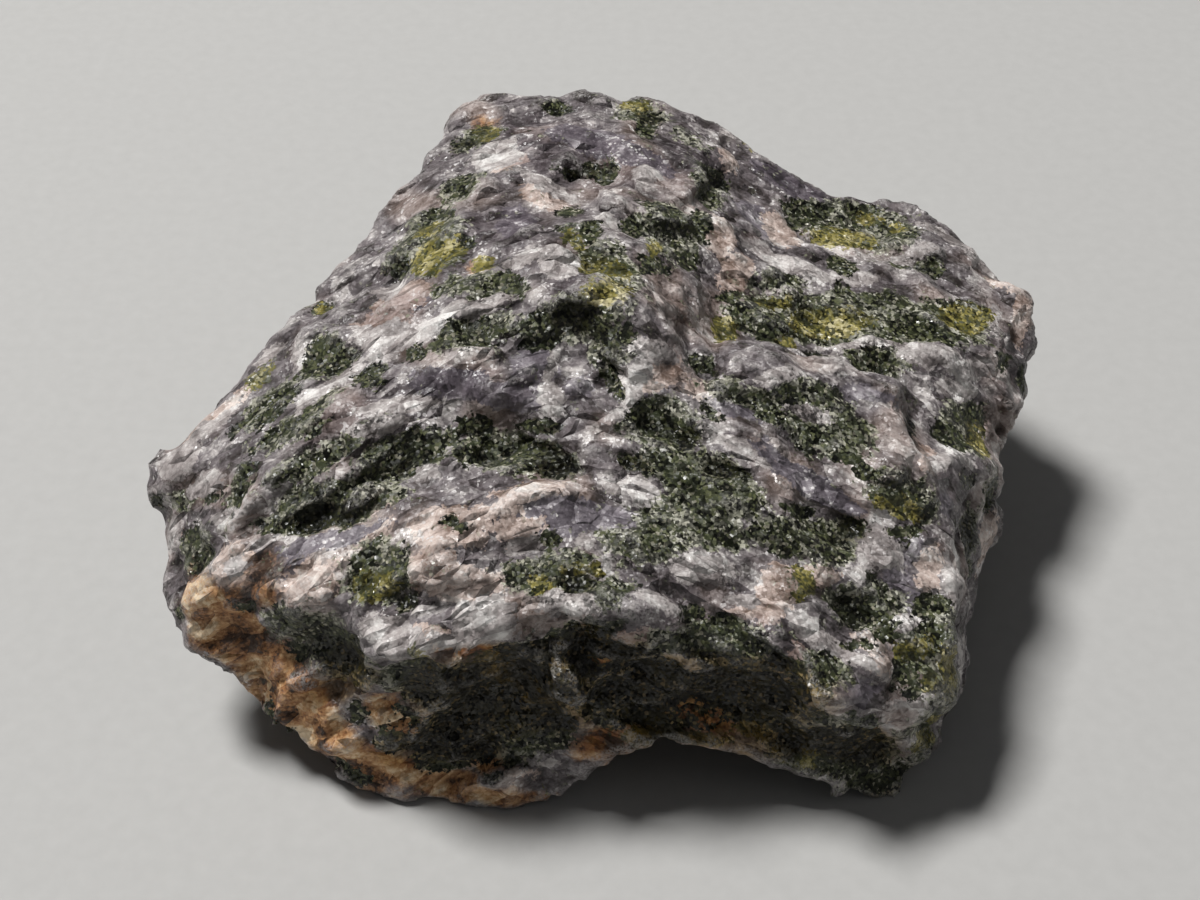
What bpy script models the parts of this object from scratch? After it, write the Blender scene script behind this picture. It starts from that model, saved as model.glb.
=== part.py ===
"""A rough piece of gabbro: one broken stone about 61 mm wide, as a single closed solid.

The stone is made in four steps. Its edges, ridges and hollows are first laid out by hand as a
coarse shell of flat facets. The shell is then divided finely, its larger pits and lumps are
pressed into it, fractal noise roughens it, and it is thinned to a mesh of flat triangles. Last,
whatever would sink below the table is flattened, which leaves the small flat spots it rests on.
"""

import math

import bmesh
import bpy
from mathutils import Vector, noise
from mathutils.geometry import delaunay_2d_cdt

MM = 0.001
VOXEL = 0.55 * MM
TRIANGLES = 9000
LEAST_CLEARANCE = 0.08 * MM

# The shell has an upper and a lower sheet of facets. From this point above and in front of the
# stone, no facet of the upper sheet hides another, so both sheets are triangulated as seen from it.
SIGHT_POINT = Vector((-0.8, -104.7, 102.3))
SIGHT_TARGET = Vector((-0.8, -4.4, 12.0))

# All points below are (x, y, z) in millimetres: x to the right, y to the back, z up from the
# table. The outline is the line that both sheets share, clockwise from the back left corner.
BACK_EDGE = [
    (-9, 23.5, 22.5), (-3.5, 22.5, 23), (3, 22, 23.5), (6.5, 21, 22.5), (9, 20.5, 21.5), (11.5, 19.5, 20),
]
SHOULDER_EDGE = [(16.5, 17.5, 18.5), (21.5, 17, 17.5), (26, 13, 16.5), (30, 9, 15.5)]
RIGHT_END_EDGE = [
    (30, 3.5, 14), (28.5, 0.5, 12), (27, -2, 10), (26.5, -4.5, 7.5), (27, -6, 6), (26, -8.5, 5),
    (24.5, -11, 4), (23.5, -14, 4), (23.5, -16, 3.5), (23.5, -17.5, 2.5), (22, -19.5, 2.5),
    (21, -22.5, 2.5), (19.5, -23.5, 1),
]
RIGHT_FOOT_EDGE = [(18.5, -24.5, -0.3), (16, -25, -0.3), (13, -25, 2)]
ARCH_EDGE = [(10, -24.5, 3.2), (6.5, -24.5, 5), (2.5, -24.5, 5.4), (-0.5, -24.5, 4.4), (-2.5, -24.5, 2)]
LEFT_FOOT_EDGE = [
    (-4.5, -25, 0.4), (-6.5, -25.5, -0.3), (-10, -25, -0.2), (-13, -25.5, -0.3), (-16, -24.5, -0.3),
    (-18.5, -24, 0.5),
]
UNDERCUT_EDGE = [
    (-19.5, -23, 2), (-21, -22.5, 2.5), (-22.5, -21.5, 3.5), (-23, -20, 4), (-25, -19.5, 6),
    (-27.5, -18.5, 7.5),
]
LEFT_END_EDGE = [
    (-28.5, -16.5, 9), (-29, -13.5, 10.5), (-29.5, -11, 12), (-30, -10.5, 13.5), (-29.5, -9, 15.5),
    (-28, -8.5, 16.5),
]
LEFT_EDGE = [
    (-24.5, -5.5, 18.5), (-22, -1.5, 19.5), (-20.5, 1.5, 20), (-17, 7, 21), (-15.5, 10.5, 21.5),
    (-12.5, 17, 22), (-11.5, 20, 22.5),
]
OUTLINE = (
    BACK_EDGE + SHOULDER_EDGE + RIGHT_END_EDGE + RIGHT_FOOT_EDGE + ARCH_EDGE
    + LEFT_FOOT_EDGE + UNDERCUT_EDGE + LEFT_END_EDGE + LEFT_EDGE
)

# The upper sheet: the top of the stone and its front face.
SUMMIT = [
    (-6.5, 16.5, 24), (-1, 16.5, 24), (4, 17, 23.5), (-12.5, 12, 23), (-9, 10.5, 24), (-5, 10, 24.3),
    (-2.5, 11.5, 23), (-0.5, 12, 23), (2, 11.5, 24), (6, 13, 23), (8.5, 11.5, 21.5), (3.5, 6.5, 24),
    (6, 5, 22.5), (-1, 5, 25), (-5, 3.5, 25.2), (-9, 3.5, 24.5),
]
HUMP = [
    (-13.5, 4, 22.5), (-10.5, 0.5, 24), (-7, -2, 25), (-3.5, -2, 26), (-1, -1.5, 26), (2, -2, 25.7),
    (2.5, -5, 25), (-1, -5.5, 25.8), (-4.5, -5.5, 25.6), (-9, -4, 24.5),
]
HUMP_FOOT = [(-11, -6, 23.3), (-7, -6.2, 23.2), (-4.5, -6.7, 22.9), (-1.5, -7, 22.6)]
SHOULDER_DISH = [
    (9.5, 17, 20.5), (13, 14.5, 19), (13, 13, 18), (17.5, 13.5, 17), (21.5, 13.5, 17), (23.5, 11.5, 17),
    (15, 7, 18.5), (19, 8, 18), (10, 6, 20),
]
BACK_VALLEY = [
    (7, 1, 20.5), (6.5, -3, 20), (10, -2, 18.8), (13.5, -0.5, 17.2), (16, -1, 17.2), (19.5, -2.5, 17),
    (11.5, 2, 19), (16.5, 3, 17.8), (22, 6, 17.5), (26.5, 7, 16), (27, 2.5, 15.5), (23, 0, 17),
]
MIDDLE_RIDGE = [(5, -7.5, 22.2), (9.5, -7, 21.8), (13, -6.5, 21), (16, -7, 20.3), (18.5, -7, 19.5)]
NOTCH_EDGE = [(18.3, -8, 19.2), (18.5, -9.5, 18.6), (18.6, -10.8, 18.1), (20, -12, 16.9)]
NOTCH_FLOOR = [
    (20.3, -5, 16.4), (20.3, -7, 15.8), (20.6, -9.2, 15.7), (22.5, -4, 15.6), (24.5, -2.5, 14.3),
    (26, -2, 12.4), (23, -6, 14.4), (25, -5, 12.4), (22.5, -8.7, 15.4), (24.5, -8, 13),
]
RIGHT_EDGE = [
    (22, -11, 14.2), (21, -14, 14.5), (21.5, -16, 13), (21.5, -18.5, 12),
    (21, -21, 11), (20, -23, 9),
]
RIGHT_FACET = [
    (5.5, -10, 20.5), (10.5, -9, 20.3), (5.5, -14.5, 18.5), (10.5, -13, 18.2), (15, -10.5, 18.2),
    (9.5, -17.5, 16.5), (14.5, -16, 15.8), (1.5, -14, 18.8), (5, -19.5, 16.5), (13, -20, 14),
    (17, -19, 13), (17.5, -21.5, 11),
]
LILAC_BLOCK = [
    (-11, -7, 23), (-7, -8, 23.3), (-4, -7.8, 23.2), (-11, -9, 22.3), (-7.2, -9.5, 22.5), (-4, -9.5, 22.2),
    (-11, -10.2, 20.4), (-7.5, -10.2, 20.4), (-4, -10.8, 20.4),
]
SADDLE = [
    (2, -7.5, 23.2), (4, -7.2, 22.3), (1.5, -9, 21.8), (0.5, -10.5, 20.9), (0, -7.5, 21.4), (-1.5, -9, 21.6),
    (-1, -11.5, 20.2), (-1.5, -13.5, 19),
]
MIDDLE_PIT = [(-8.5, -11, 18.9), (-6, -11.5, 18.6), (-3.5, -12.5, 18.2), (-10.5, -12.5, 19.8)]
MIDDLE_SLOPE = [
    (-8.5, -17.5, 18.3), (-3, -16, 19.3), (-1, -15, 19), (-13, -19.5, 17), (-9.5, -14.5, 18.9),
    (-8, -20.5, 16.8), (-3, -19.5, 17.3), (1.5, -20, 17),
]
LEFT_SLOPE = [
    (-18.5, -2.5, 21), (-15.5, 0, 22), (-17, -5.5, 21.5), (-13.5, -6, 22.4), (-21, -5.5, 20),
    (-23, -9, 19), (-19, -11, 20.3), (-15.5, -11, 21.2), (-22.5, -13, 18.6), (-25.5, -12, 16.5),
]
LEFT_LEDGE = [(-21, -14.5, 18.8), (-19, -15.2, 19), (-16.5, -14.5, 19.3), (-14, -13, 19.8), (-12.5, -11.5, 20.8)]
LEDGE_FOOT = [
    (-21.2, -16, 17.2), (-19, -16.6, 16.9), (-16.5, -16.8, 16.9), (-14.7, -16, 17.4), (-13, -14, 18.2),
    (-11.8, -12.6, 19.2), (-19, -18, 16.2), (-16, -18.3, 16.6), (-13, -16.5, 18),
]
LEFT_END_FACE = [(-26, -15, 14), (-25, -18, 12.5), (-23.5, -15.5, 16.3), (-23.5, -17.5, 14.5), (-20.5, -19.3, 14.8)]
FRONT_RIDGE = [
    (-25.5, -19.5, 9.5), (-23, -18.5, 12.5), (-19, -19.5, 14), (-16, -21, 15), (-15, -23.5, 13.6),
    (-11.5, -22.5, 15), (-12.5, -24.5, 13), (-9.5, -25, 13), (-8, -22.5, 15.3), (-8, -24, 13.7),
    (-6.5, -23, 14.6), (-3, -22.5, 15.2), (0, -22.5, 15.2), (3, -22.5, 15.2), (6.5, -22, 15),
    (9.5, -24, 13.5), (12.5, -25.5, 11.5), (16, -25, 9.5),
]
FRONT_FACE = [
    (-11.5, -23, 8.8), (-9, -22.7, 9.2), (-7, -23.3, 8.2), (-5, -23, 11), (-3, -24.7, 11.3),
    (-3, -24.3, 8), (-1.5, -23.3, 9.6), (-10, -24.2, 5), (-6, -24.5, 4.8), (-3.5, -24, 5),
    (-10.5, -24, 1.9), (-4.5, -24.2, 1.9), (2, -23.5, 10), (6.5, -23, 9.5), (11, -24, 6.5),
    (15, -24, 5.5), (18, -24.5, 6),
]
STAINED_FACE = [
    (-19.5, -20.5, 9.5), (-18.5, -20.5, 12.2), (-16.5, -22.5, 7.5), (-13.5, -24, 4.5), (-20.5, -21.5, 5.5),
    (-17, -23.7, 4.6), (-23, -19, 8),
]
UPPER_SHEET = (
    SUMMIT + HUMP + HUMP_FOOT + SHOULDER_DISH + BACK_VALLEY + MIDDLE_RIDGE + NOTCH_EDGE + NOTCH_FLOOR
    + RIGHT_EDGE + RIGHT_FACET + LILAC_BLOCK + SADDLE + MIDDLE_PIT + MIDDLE_SLOPE + LEFT_SLOPE
    + LEFT_LEDGE + LEDGE_FOOT + LEFT_END_FACE + FRONT_RIDGE + FRONT_FACE + STAINED_FACE
)

# The lower sheet: the back and side walls and the underside, whose flat spots lie below the table
# until they are flattened.
BACK_WALL = [
    (-10, 23, 17), (-3, 23.4, 16.3), (4.5, 23.3, 15.8), (9.5, 21.5, 14.6), (15, 19.3, 13.6), (21, 18.7, 13),
    (-10, 24.3, 14.6), (-3, 25.5, 13.7), (5, 25.1, 13.2), (10, 23.3, 12), (15.5, 21.2, 11), (21, 19, 9.5),
    (26.5, 14, 9.5), (29.5, 8, 10), (-10.5, 22.3, 8), (-2.5, 23.4, 6.2), (1, 24.6, 9), (6, 22.8, 5.5),
    (12.5, 20.5, 4.5), (19, 17.5, 5), (25, 12, 3.5),
]
LEFT_WALL = [
    (-15.5, 17.5, 16), (-18.5, 12, 15), (-20.5, 8.3, 17), (-22, 6, 12), (-20.5, 4.5, 16.5), (-21.3, 3.2, 12.5),
    (-24.5, 0.5, 13.5), (-28, -5, 12.5), (-14.5, 16, 8), (-19.5, 9.5, 7.5), (-22, 2.5, 8), (-26.5, -5, 8),
    (-25, -7.5, 6.5), (-27.5, -12, 8),
]
RIGHT_WALL = [(29, 2.5, 7), (27.5, 7, 4.5), (27, -3, 3.5)]
BACK_REST_SPOT = [(-8, 16, -0.6), (0, 19, -0.8), (7.5, 17.5, -0.7), (13, 11, -0.6), (10, 4, -0.5), (-6, 6, -0.6)]
LEFT_REST_SPOT = [(-15.5, -21, -0.8), (-6, -22.5, -0.8), (-6.5, -16.5, -0.6), (-13.5, -15, -0.5)]
RIGHT_REST_SPOT = [(16.5, -22.5, -0.8), (18.5, -20.5, -0.7), (19.5, -15, -0.5), (14.5, -15.5, -0.5)]
UNDERSIDE = [
    (-14, 11, 3), (-17, 3, 3.5), (-20.5, -5, 4), (-21.5, -13, 4), (-24.5, -16, 5.5), (-11, -3, 1.5),
    (-11, -9, 1.5), (1.5, -20.5, 6.8), (7.5, -20.5, 6.8), (4.5, -16.3, 6), (4, -11.5, 2.2), (4, -4, 1.4), (24, -8, 2),
    (25, 1, 2.5), (22, 9, 2), (17, -4, 1.8), (11, -8.5, 1.5), (-1.5, -14, 1.6), (11.5, -14, 1.8),
]
LOWER_SHEET = BACK_WALL + LEFT_WALL + RIGHT_WALL + BACK_REST_SPOT + LEFT_REST_SPOT + RIGHT_REST_SPOT + UNDERSIDE


# Hollows where dark grains broke out and lumps of hard feldspar: (x, y, z) of the middle, then the
# half length along the mineral bands, the half width across them, and the depth or height.
HOLLOWS = [
    (-2, 12, 23, 2.4, 1.5, 1.1), (7.5, 13, 22, 2.2, 1.5, 0.9), (-3, -5.5, 24.5, 3.6, 1.1, 0.7),
    (0, -8, 22, 1.5, 1.8, 0.9), (5.5, -7, 21, 1.6, 1.2, 0.8), (13, -4.5, 19, 2.4, 1, 0.8),
    (-6, -12, 19, 4.2, 1.7, 1.1), (3, -11, 20, 2.6, 1.8, 0.8), (1, -13.5, 19, 1.2, 1.2, 0.8),
    (6.5, -13.5, 18.5, 2.2, 1, 0.6), (-18, -16.2, 17.5, 3.2, 1.1, 0.6), (-14, -14.5, 18.6, 2, 1.1, 0.4),
    (13.5, -16, 16, 3.4, 1.5, 0.9), (-14.5, -20, 16, 1.9, 2.1, 0.6),
    (-4.5, -22.8, 13.5, 2.6, 1.9, 1), (-19.5, -19.5, 12.5, 1.9, 1.4, 0.7), (15.5, -20, 13, 2.2, 1.4, 0.6),
]
LUMPS = [
    (-3.5, -1, 26, 1.7, 1.3, 0.5), (8.5, 4, 20.5, 1.8, 1.6, 0.6), (13.5, 9.5, 18.5, 4.2, 1.3, 0.5),
    (-8.5, -10, 21.7, 3.2, 1.6, 0.6), (-5, -8.5, 23, 1.5, 1.4, 0.5), (-2.5, -9.2, 21.8, 1.5, 1.6, 0.5),
    (-5.5, -16.5, 19, 4.2, 1.1, 0.7), (11.5, -20.5, 14.5, 3.2, 2, 0.6), (-11.5, -23.5, 14, 3.2, 1.4, 0.6),
    (-2.3, -24.2, 10, 1.1, 1.7, 0.9), (1, -24, 12.5, 1.3, 1.4, 0.6), (-7, -24.7, 3, 4.2, 0.9, 0.7),
]

# The mineral bands rise from both sides towards BAND_TOP and are much longer than they are wide.
BAND_TOP = -3.0
BAND_BEND = 5.0
BAND_RISE = Vector((0.0, 0.33, 0.37))

# Broken faces are chips: cell size, stretch along the bands, tilt and step height. The walls and
# the underside that face away from the sight point have large ones as well.
CHIPS = [(5.5, 1.6, 0.12, 0.14), (2.6, 1.9, 0.13, 0.07)]
HIDDEN_CHIP = (9.0, 1.3, 0.15, 0.3)
ROUGHNESS_SIZE = 2.2
ROUGHNESS_HEIGHT = 0.12


def clear_scene():
    for old in list(bpy.data.objects):
        bpy.data.objects.remove(old, do_unlink=True)


def seen_from_sight_point(point):
    """The point's place in the picture that an eye at SIGHT_POINT would see."""
    forward = (SIGHT_TARGET - SIGHT_POINT).normalized()
    right = forward.cross(Vector((0, 0, 1))).normalized()
    up = right.cross(forward)
    offset = Vector(point) - SIGHT_POINT
    depth = offset.dot(forward)
    return Vector((offset.dot(right) / depth, offset.dot(up) / depth))


def sheet_facets(inner):
    """Triangles that join the outline and a sheet's inner points, as corner numbers in that order."""
    corners = [seen_from_sight_point(point) for point in OUTLINE + inner]
    count = len(OUTLINE)
    rim = [(i, (i + 1) % count) for i in range(count)]
    made = delaunay_2d_cdt(corners, rim, [], 1, 1e-9)
    return [[made[3][corner][0] for corner in face] for face in made[2]]


def coarse_shell():
    """The closed shell of flat facets, as a mesh object in metres."""
    shell = bmesh.new()
    rim = [shell.verts.new(point) for point in OUTLINE]
    for sheet in (UPPER_SHEET, LOWER_SHEET):
        corners = rim + [shell.verts.new(point) for point in sheet]
        for face in sheet_facets(sheet):
            shell.faces.new([corners[i] for i in face])
    bmesh.ops.recalc_face_normals(shell, faces=shell.faces)
    bmesh.ops.scale(shell, vec=(MM, MM, MM), verts=shell.verts)
    mesh = bpy.data.meshes.new("gabbro_stone")
    shell.to_mesh(mesh)
    shell.free()
    stone = bpy.data.objects.new("gabbro_stone", mesh)
    bpy.context.collection.objects.link(stone)
    return stone


def apply_modifiers(stone):
    """Replaces the stone's mesh with what its modifiers make of it."""
    evaluated = stone.evaluated_get(bpy.context.evaluated_depsgraph_get())
    made = bpy.data.meshes.new_from_object(evaluated)
    old = stone.data
    stone.modifiers.clear()
    stone.data = made
    bpy.data.meshes.remove(old)
    made.name = stone.name


def divide_finely(stone):
    remesh = stone.modifiers.new("fine cells", "REMESH")
    remesh.mode = "VOXEL"
    remesh.voxel_size = VOXEL
    apply_modifiers(stone)


def along_bands(point):
    """The point in a space where the mineral bands are level and run along x."""
    climb = math.hypot(point.x - BAND_TOP, BAND_BEND)
    return point + BAND_RISE * climb


def dimple(point, middle, half_length, half_width):
    """1 at the middle of a long oval lying along the bands, falling smoothly to 0 at its edge."""
    offset = along_bands(point) - along_bands(Vector(middle))
    reach = (offset.x / half_length) ** 2 + (offset.y**2 + offset.z**2) / half_width**2
    return (1 - reach) ** 2 if reach < 1 else 0.0


def chip(point, size, stretch, tilt, step):
    """Height of the flat, tilted chip that the point lies on."""
    place = along_bands(point)
    place = Vector((place.x / stretch, place.y, place.z)) / size
    middle = noise.voronoi(place)[1][0]
    lean = noise.cell_vector(middle * 7.3) - Vector((0.5, 0.5, 0.5))
    height = noise.cell_vector(middle * 3.1 + Vector((9.5, 2.5, 4.5))).x - 0.5
    return 2 * tilt * size * lean.dot(place - middle) + 2 * step * height


def relief(point, hidden):
    """How far the surface stands out at a point, in millimetres."""
    height = ROUGHNESS_HEIGHT * noise.fractal(point / ROUGHNESS_SIZE, 1.0, 2.0, 3)
    height += hidden * chip(point, *HIDDEN_CHIP)
    for size, stretch, tilt, step in CHIPS:
        height += chip(point, size, stretch, tilt, step)
    for x, y, z, half_length, half_width, depth in HOLLOWS:
        height -= depth * dimple(point, (x, y, z), half_length, half_width)
    for x, y, z, half_length, half_width, rise in LUMPS:
        height += rise * dimple(point, (x, y, z), half_length, half_width)
    return height


def press_relief(stone):
    sight = (SIGHT_TARGET - SIGHT_POINT).normalized()
    directions = [vertex.normal.copy() for vertex in stone.data.vertices]
    for vertex, direction in zip(stone.data.vertices, directions):
        hidden = min(1.0, max(0.0, 3 * direction.dot(sight)))
        vertex.co += direction * relief(vertex.co / MM, hidden) * MM


def flatten_rest_spots(stone):
    """Presses whatever lies below the table, or hardly above it, flat onto it."""
    for vertex in stone.data.vertices:
        if vertex.co.z < LEAST_CLEARANCE:
            vertex.co.z = 0.0


def thin_to_facets(stone):
    triangulate = stone.modifiers.new("triangles", "TRIANGULATE")
    triangulate.quad_method = "SHORTEST_DIAGONAL"
    apply_modifiers(stone)
    decimate = stone.modifiers.new("thinned", "DECIMATE")
    decimate.ratio = TRIANGLES / len(stone.data.polygons)
    apply_modifiers(stone)


def centre_on_origin(stone):
    """Moves the stone so that its box stands centred on the origin."""
    corners = [vertex.co for vertex in stone.data.vertices]
    for axis in (0, 1):
        places = [corner[axis] for corner in corners]
        middle = (min(places) + max(places)) / 2
        for corner in corners:
            corner[axis] -= middle


def gabbro_material():
    """Lilac-grey feldspar seen from a distance, with the dull gloss of a broken stone."""
    material = bpy.data.materials.new("gabbro")
    material.use_nodes = True
    shader = material.node_tree.nodes["Principled BSDF"]
    shader.inputs["Base Color"].default_value = (0.22, 0.2, 0.19, 1.0)
    shader.inputs["Roughness"].default_value = 0.6
    shader.inputs["Metallic"].default_value = 0.0
    return material


def main():
    clear_scene()
    stone = coarse_shell()
    divide_finely(stone)
    press_relief(stone)
    flatten_rest_spots(stone)
    thin_to_facets(stone)
    flatten_rest_spots(stone)
    centre_on_origin(stone)
    stone.data.materials.append(gabbro_material())


main()
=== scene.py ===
# %% [markdown]
# # A rough piece of gabbro
#
# Gabbro cooled slowly and deep down, so its minerals had time to grow large.
# This broken piece is about 60 mm wide. It holds clots of green-black pyroxene,
# lilac-grey to pinkish white feldspar between them, yellow-olive grains that
# have begun to weather, and a rusty stain on its left foot.
#
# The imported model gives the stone's size and main form as flat facets. The
# lesson keeps that form, breaks its surface into crystal faces, lays out the
# minerals where they show, and mixes one material from them.

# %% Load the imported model
import math
import random

import bmesh
import bpy
import numpy as np
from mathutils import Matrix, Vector, noise
from mathutils.bvhtree import BVHTree
from mathutils.kdtree import KDTree


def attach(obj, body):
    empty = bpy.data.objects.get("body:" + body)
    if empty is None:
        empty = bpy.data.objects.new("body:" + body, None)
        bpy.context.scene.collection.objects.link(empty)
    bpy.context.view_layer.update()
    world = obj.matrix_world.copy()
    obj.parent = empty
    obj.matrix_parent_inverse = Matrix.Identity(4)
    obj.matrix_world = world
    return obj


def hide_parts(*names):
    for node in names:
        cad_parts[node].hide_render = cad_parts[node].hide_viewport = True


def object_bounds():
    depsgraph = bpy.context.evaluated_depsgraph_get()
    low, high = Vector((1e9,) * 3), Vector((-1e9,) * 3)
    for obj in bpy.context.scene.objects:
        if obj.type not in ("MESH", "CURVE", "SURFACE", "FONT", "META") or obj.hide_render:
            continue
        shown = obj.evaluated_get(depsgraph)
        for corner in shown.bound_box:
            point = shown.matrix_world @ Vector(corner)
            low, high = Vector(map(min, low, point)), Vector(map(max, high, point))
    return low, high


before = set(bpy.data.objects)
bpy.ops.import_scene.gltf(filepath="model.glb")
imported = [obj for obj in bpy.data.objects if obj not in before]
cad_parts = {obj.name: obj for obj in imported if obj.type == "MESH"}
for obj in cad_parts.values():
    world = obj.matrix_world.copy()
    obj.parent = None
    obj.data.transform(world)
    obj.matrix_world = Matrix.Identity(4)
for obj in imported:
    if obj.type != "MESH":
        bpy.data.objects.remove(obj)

MM = 0.001
CAD_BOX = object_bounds()
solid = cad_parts["gabbro_stone"]
print("solid box, mm:", [[round(c / MM, 1) for c in corner] for corner in CAD_BOX])

# %% [markdown]
# ## The camera
#
# The stone is looked at from its undercut front and from about 42 degrees
# above, close up. A 60 mm lens at 135 mm gives the strong perspective of a
# close view: the front edge is clearly nearer than the hump. The camera comes
# first because the minerals are laid out by where they appear through it.

# %% Place the camera
TARGET = Vector((-0.72, -4.03, 12.0)) * MM
DISTANCE = 135 * MM
ELEVATION = math.radians(42)
LENS = 60.0
SENSOR = 36.0
PICTURE_WIDTH = 1200
PICTURE_HEIGHT = 900
PIXELS_PER_SLOPE = PICTURE_WIDTH * LENS / SENSOR

sight = Vector((0, math.cos(ELEVATION), -math.sin(ELEVATION)))
across = Vector((1, 0, 0))
upward = across.cross(sight)
eye = TARGET - sight * DISTANCE

camera = bpy.data.objects.new("camera", bpy.data.cameras.new("camera"))
camera.data.lens = LENS
camera.data.sensor_width = SENSOR
camera.data.clip_start = 10 * MM
camera.location = eye
camera.rotation_euler = (math.pi / 2 - ELEVATION, 0, 0)
bpy.context.scene.collection.objects.link(camera)
bpy.context.scene.camera = camera
print("camera at, mm:", [round(c / MM, 1) for c in eye])

# %% [markdown]
# ## A fine skin over the solid
#
# The solid has 9000 facets up to 2 mm long, too coarse for the grain of a
# broken rock. Its copy is merged into one closed skin and a voxel remesh turns
# it into even squares about 0.3 mm wide, small enough for every crystal face
# that the eye can make out and still under 200,000 triangles. Subdividing would
# keep the facets' uneven sizes, and the small ones would use up the triangles.

# %% Copy the solid and remesh it
SKIN_SQUARE = 0.33 * MM
WELD = 0.001 * MM


def fine_skin(node, square):
    """A closed copy of a solid's mesh, made of even squares."""
    skin = node.data.copy()
    work = bmesh.new()
    work.from_mesh(skin)
    bmesh.ops.remove_doubles(work, verts=work.verts, dist=WELD)
    work.to_mesh(skin)
    work.free()
    copy = bpy.data.objects.new("skin", skin)
    bpy.context.scene.collection.objects.link(copy)
    remesh = copy.modifiers.new("even_squares", "REMESH")
    remesh.mode = "VOXEL"
    remesh.voxel_size = square
    remeshed = copy.evaluated_get(bpy.context.evaluated_depsgraph_get())
    fine = bpy.data.meshes.new_from_object(remeshed)
    bpy.data.objects.remove(copy)
    return fine


skin = fine_skin(solid, SKIN_SQUARE)
skin.calc_loop_triangles()
print("skin:", len(skin.vertices), "points,", len(skin.loop_triangles), "triangles")

# %% [markdown]
# ## The skin as rows of numbers
#
# A hundred thousand points are too many to move one by one. Their places and
# outward directions are read once, as rows of numbers in millimetres, and one
# line of arithmetic then moves them all. A search tree of the same faces says
# later where a line of sight meets the stone.

# %% Read the skin's points
def numbers(mesh, name):
    """A vector property of every point as rows of three numbers."""
    rows = np.empty(len(mesh.vertices) * 3, np.float32)
    mesh.vertices.foreach_get(name, rows)
    return rows.reshape(-1, 3).astype(float)


points = numbers(skin, "co") / MM
normals = numbers(skin, "normal")
squares = bmesh.new()
squares.from_mesh(skin)
tree = BVHTree.FromBMesh(squares)
print("points from", points.min(0).round(1), "to", points.max(0).round(1))

# %% [markdown]
# ## The bands
#
# Pressure has drawn the minerals out into bands. They climb from the left end
# to the hump and fall again to the right. One formula adds a height that grows
# away from the hump, and in the space it makes, the bands lie level along x.
# Everything that should follow the bands is worked out in that space.

# %% A space where the bands lie level
BAND_TOP = -3.0
BAND_BEND = 5.0
BAND_RISE = np.array((0.0, 0.33, 0.37))


def along_bands(place):
    """Rows of points in the space where the mineral bands are level."""
    climb = np.hypot(place[:, 0] - BAND_TOP, BAND_BEND)
    return place + climb[:, None] * BAND_RISE


banded = along_bands(points)
print("bands reach from", banded.min(0).round(1), "to", banded.max(0).round(1))

# %% [markdown]
# ## Where the minerals lie
#
# Each patch of a mineral is one long blob: where its middle shows in the picture across and down in
# pixels, its half length and half width, and how far it tilts up to the right in degrees. They are read
# mineral by mineral, as a geologist would sketch them. A ray from the camera finds the spot on the
# stone, so that a patch lies on the surface at its true size.

# %% Black pits and painted shade
# Partly dark pyroxene and partly painted shade: these blobs also darken gaps under ledges and the
# undercut front, where shade falls.
BLACK_PITS_AND_SHADE = [
    (580, 318, 30, 13, 15), (811, 354, 27, 6, 3), (911, 428, 16, 5, 90),
    (330, 515, 46, 13, 12), (402, 465, 11, 6, 80), (553, 462, 19, 13, 10),
    (631, 460, 18, 8, -30), (645, 472, 10, 6, -30), (692, 436, 9, 8, 0), (725, 472, 24, 7, -15),
    (895, 484, 15, 6, 0), (922, 514, 9, 8, -50), (853, 530, 17, 11, -10), (577, 582, 20, 13, 0),
    (840, 604, 9, 6, 0), (853, 619, 9, 5, 0), (968, 537, 22, 10, 80), (890, 685, 6, 5, 0),
    (658, 678, 30, 24, 0), (773, 662, 14, 10, 90), (548, 722, 30, 14, -10), (516, 762, 14, 7, 0),
    (492, 774, 16, 5, 0), (512, 652, 14, 10, 90), (405, 602, 10, 8, 90),
    (463, 141, 12, 10, 0), (650, 118, 13, 13, 0), (330, 655, 24, 14, -30), (425, 685, 30, 14, 0),
    (600, 622, 18, 10, 0), (470, 722, 30, 16, 0), (800, 745, 34, 12, -20), (725, 690, 28, 10, 0),
    (510, 690, 70, 34, 0), (700, 692, 100, 30, 0), (600, 655, 40, 24, 0), (840, 745, 50, 20, -20),
    (450, 745, 50, 18, -10), (520, 650, 30, 20, 0), (568, 180, 14, 10, 0), (592, 172, 8, 11, 0),
]
print("black pits:", len(BLACK_PITS_AND_SHADE))

# %% [markdown]
# ### Hollows that are too deep
#
# Four hollows of the solid look like drilled holes once they are lit. They are
# sketched as well, so that the skin can be raised inside them.

# %% Hollows to fill in part
FILLED_HOLLOWS = [
    (577, 174, 26, 18, -15), (612, 363, 30, 25, 0), (535, 636, 40, 30, 0), (445, 578, 46, 20, 10),
]
print("hollows to fill:", len(FILLED_HOLLOWS))

# %% [markdown]
# ### Clots of dark pyroxene
#
# The clots are 3 to 8 mm long and lie in rows along the bands. A ragged clot is
# sketched as a few blobs that overlap, because a single ellipse would look
# like a spot of paint.

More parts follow.
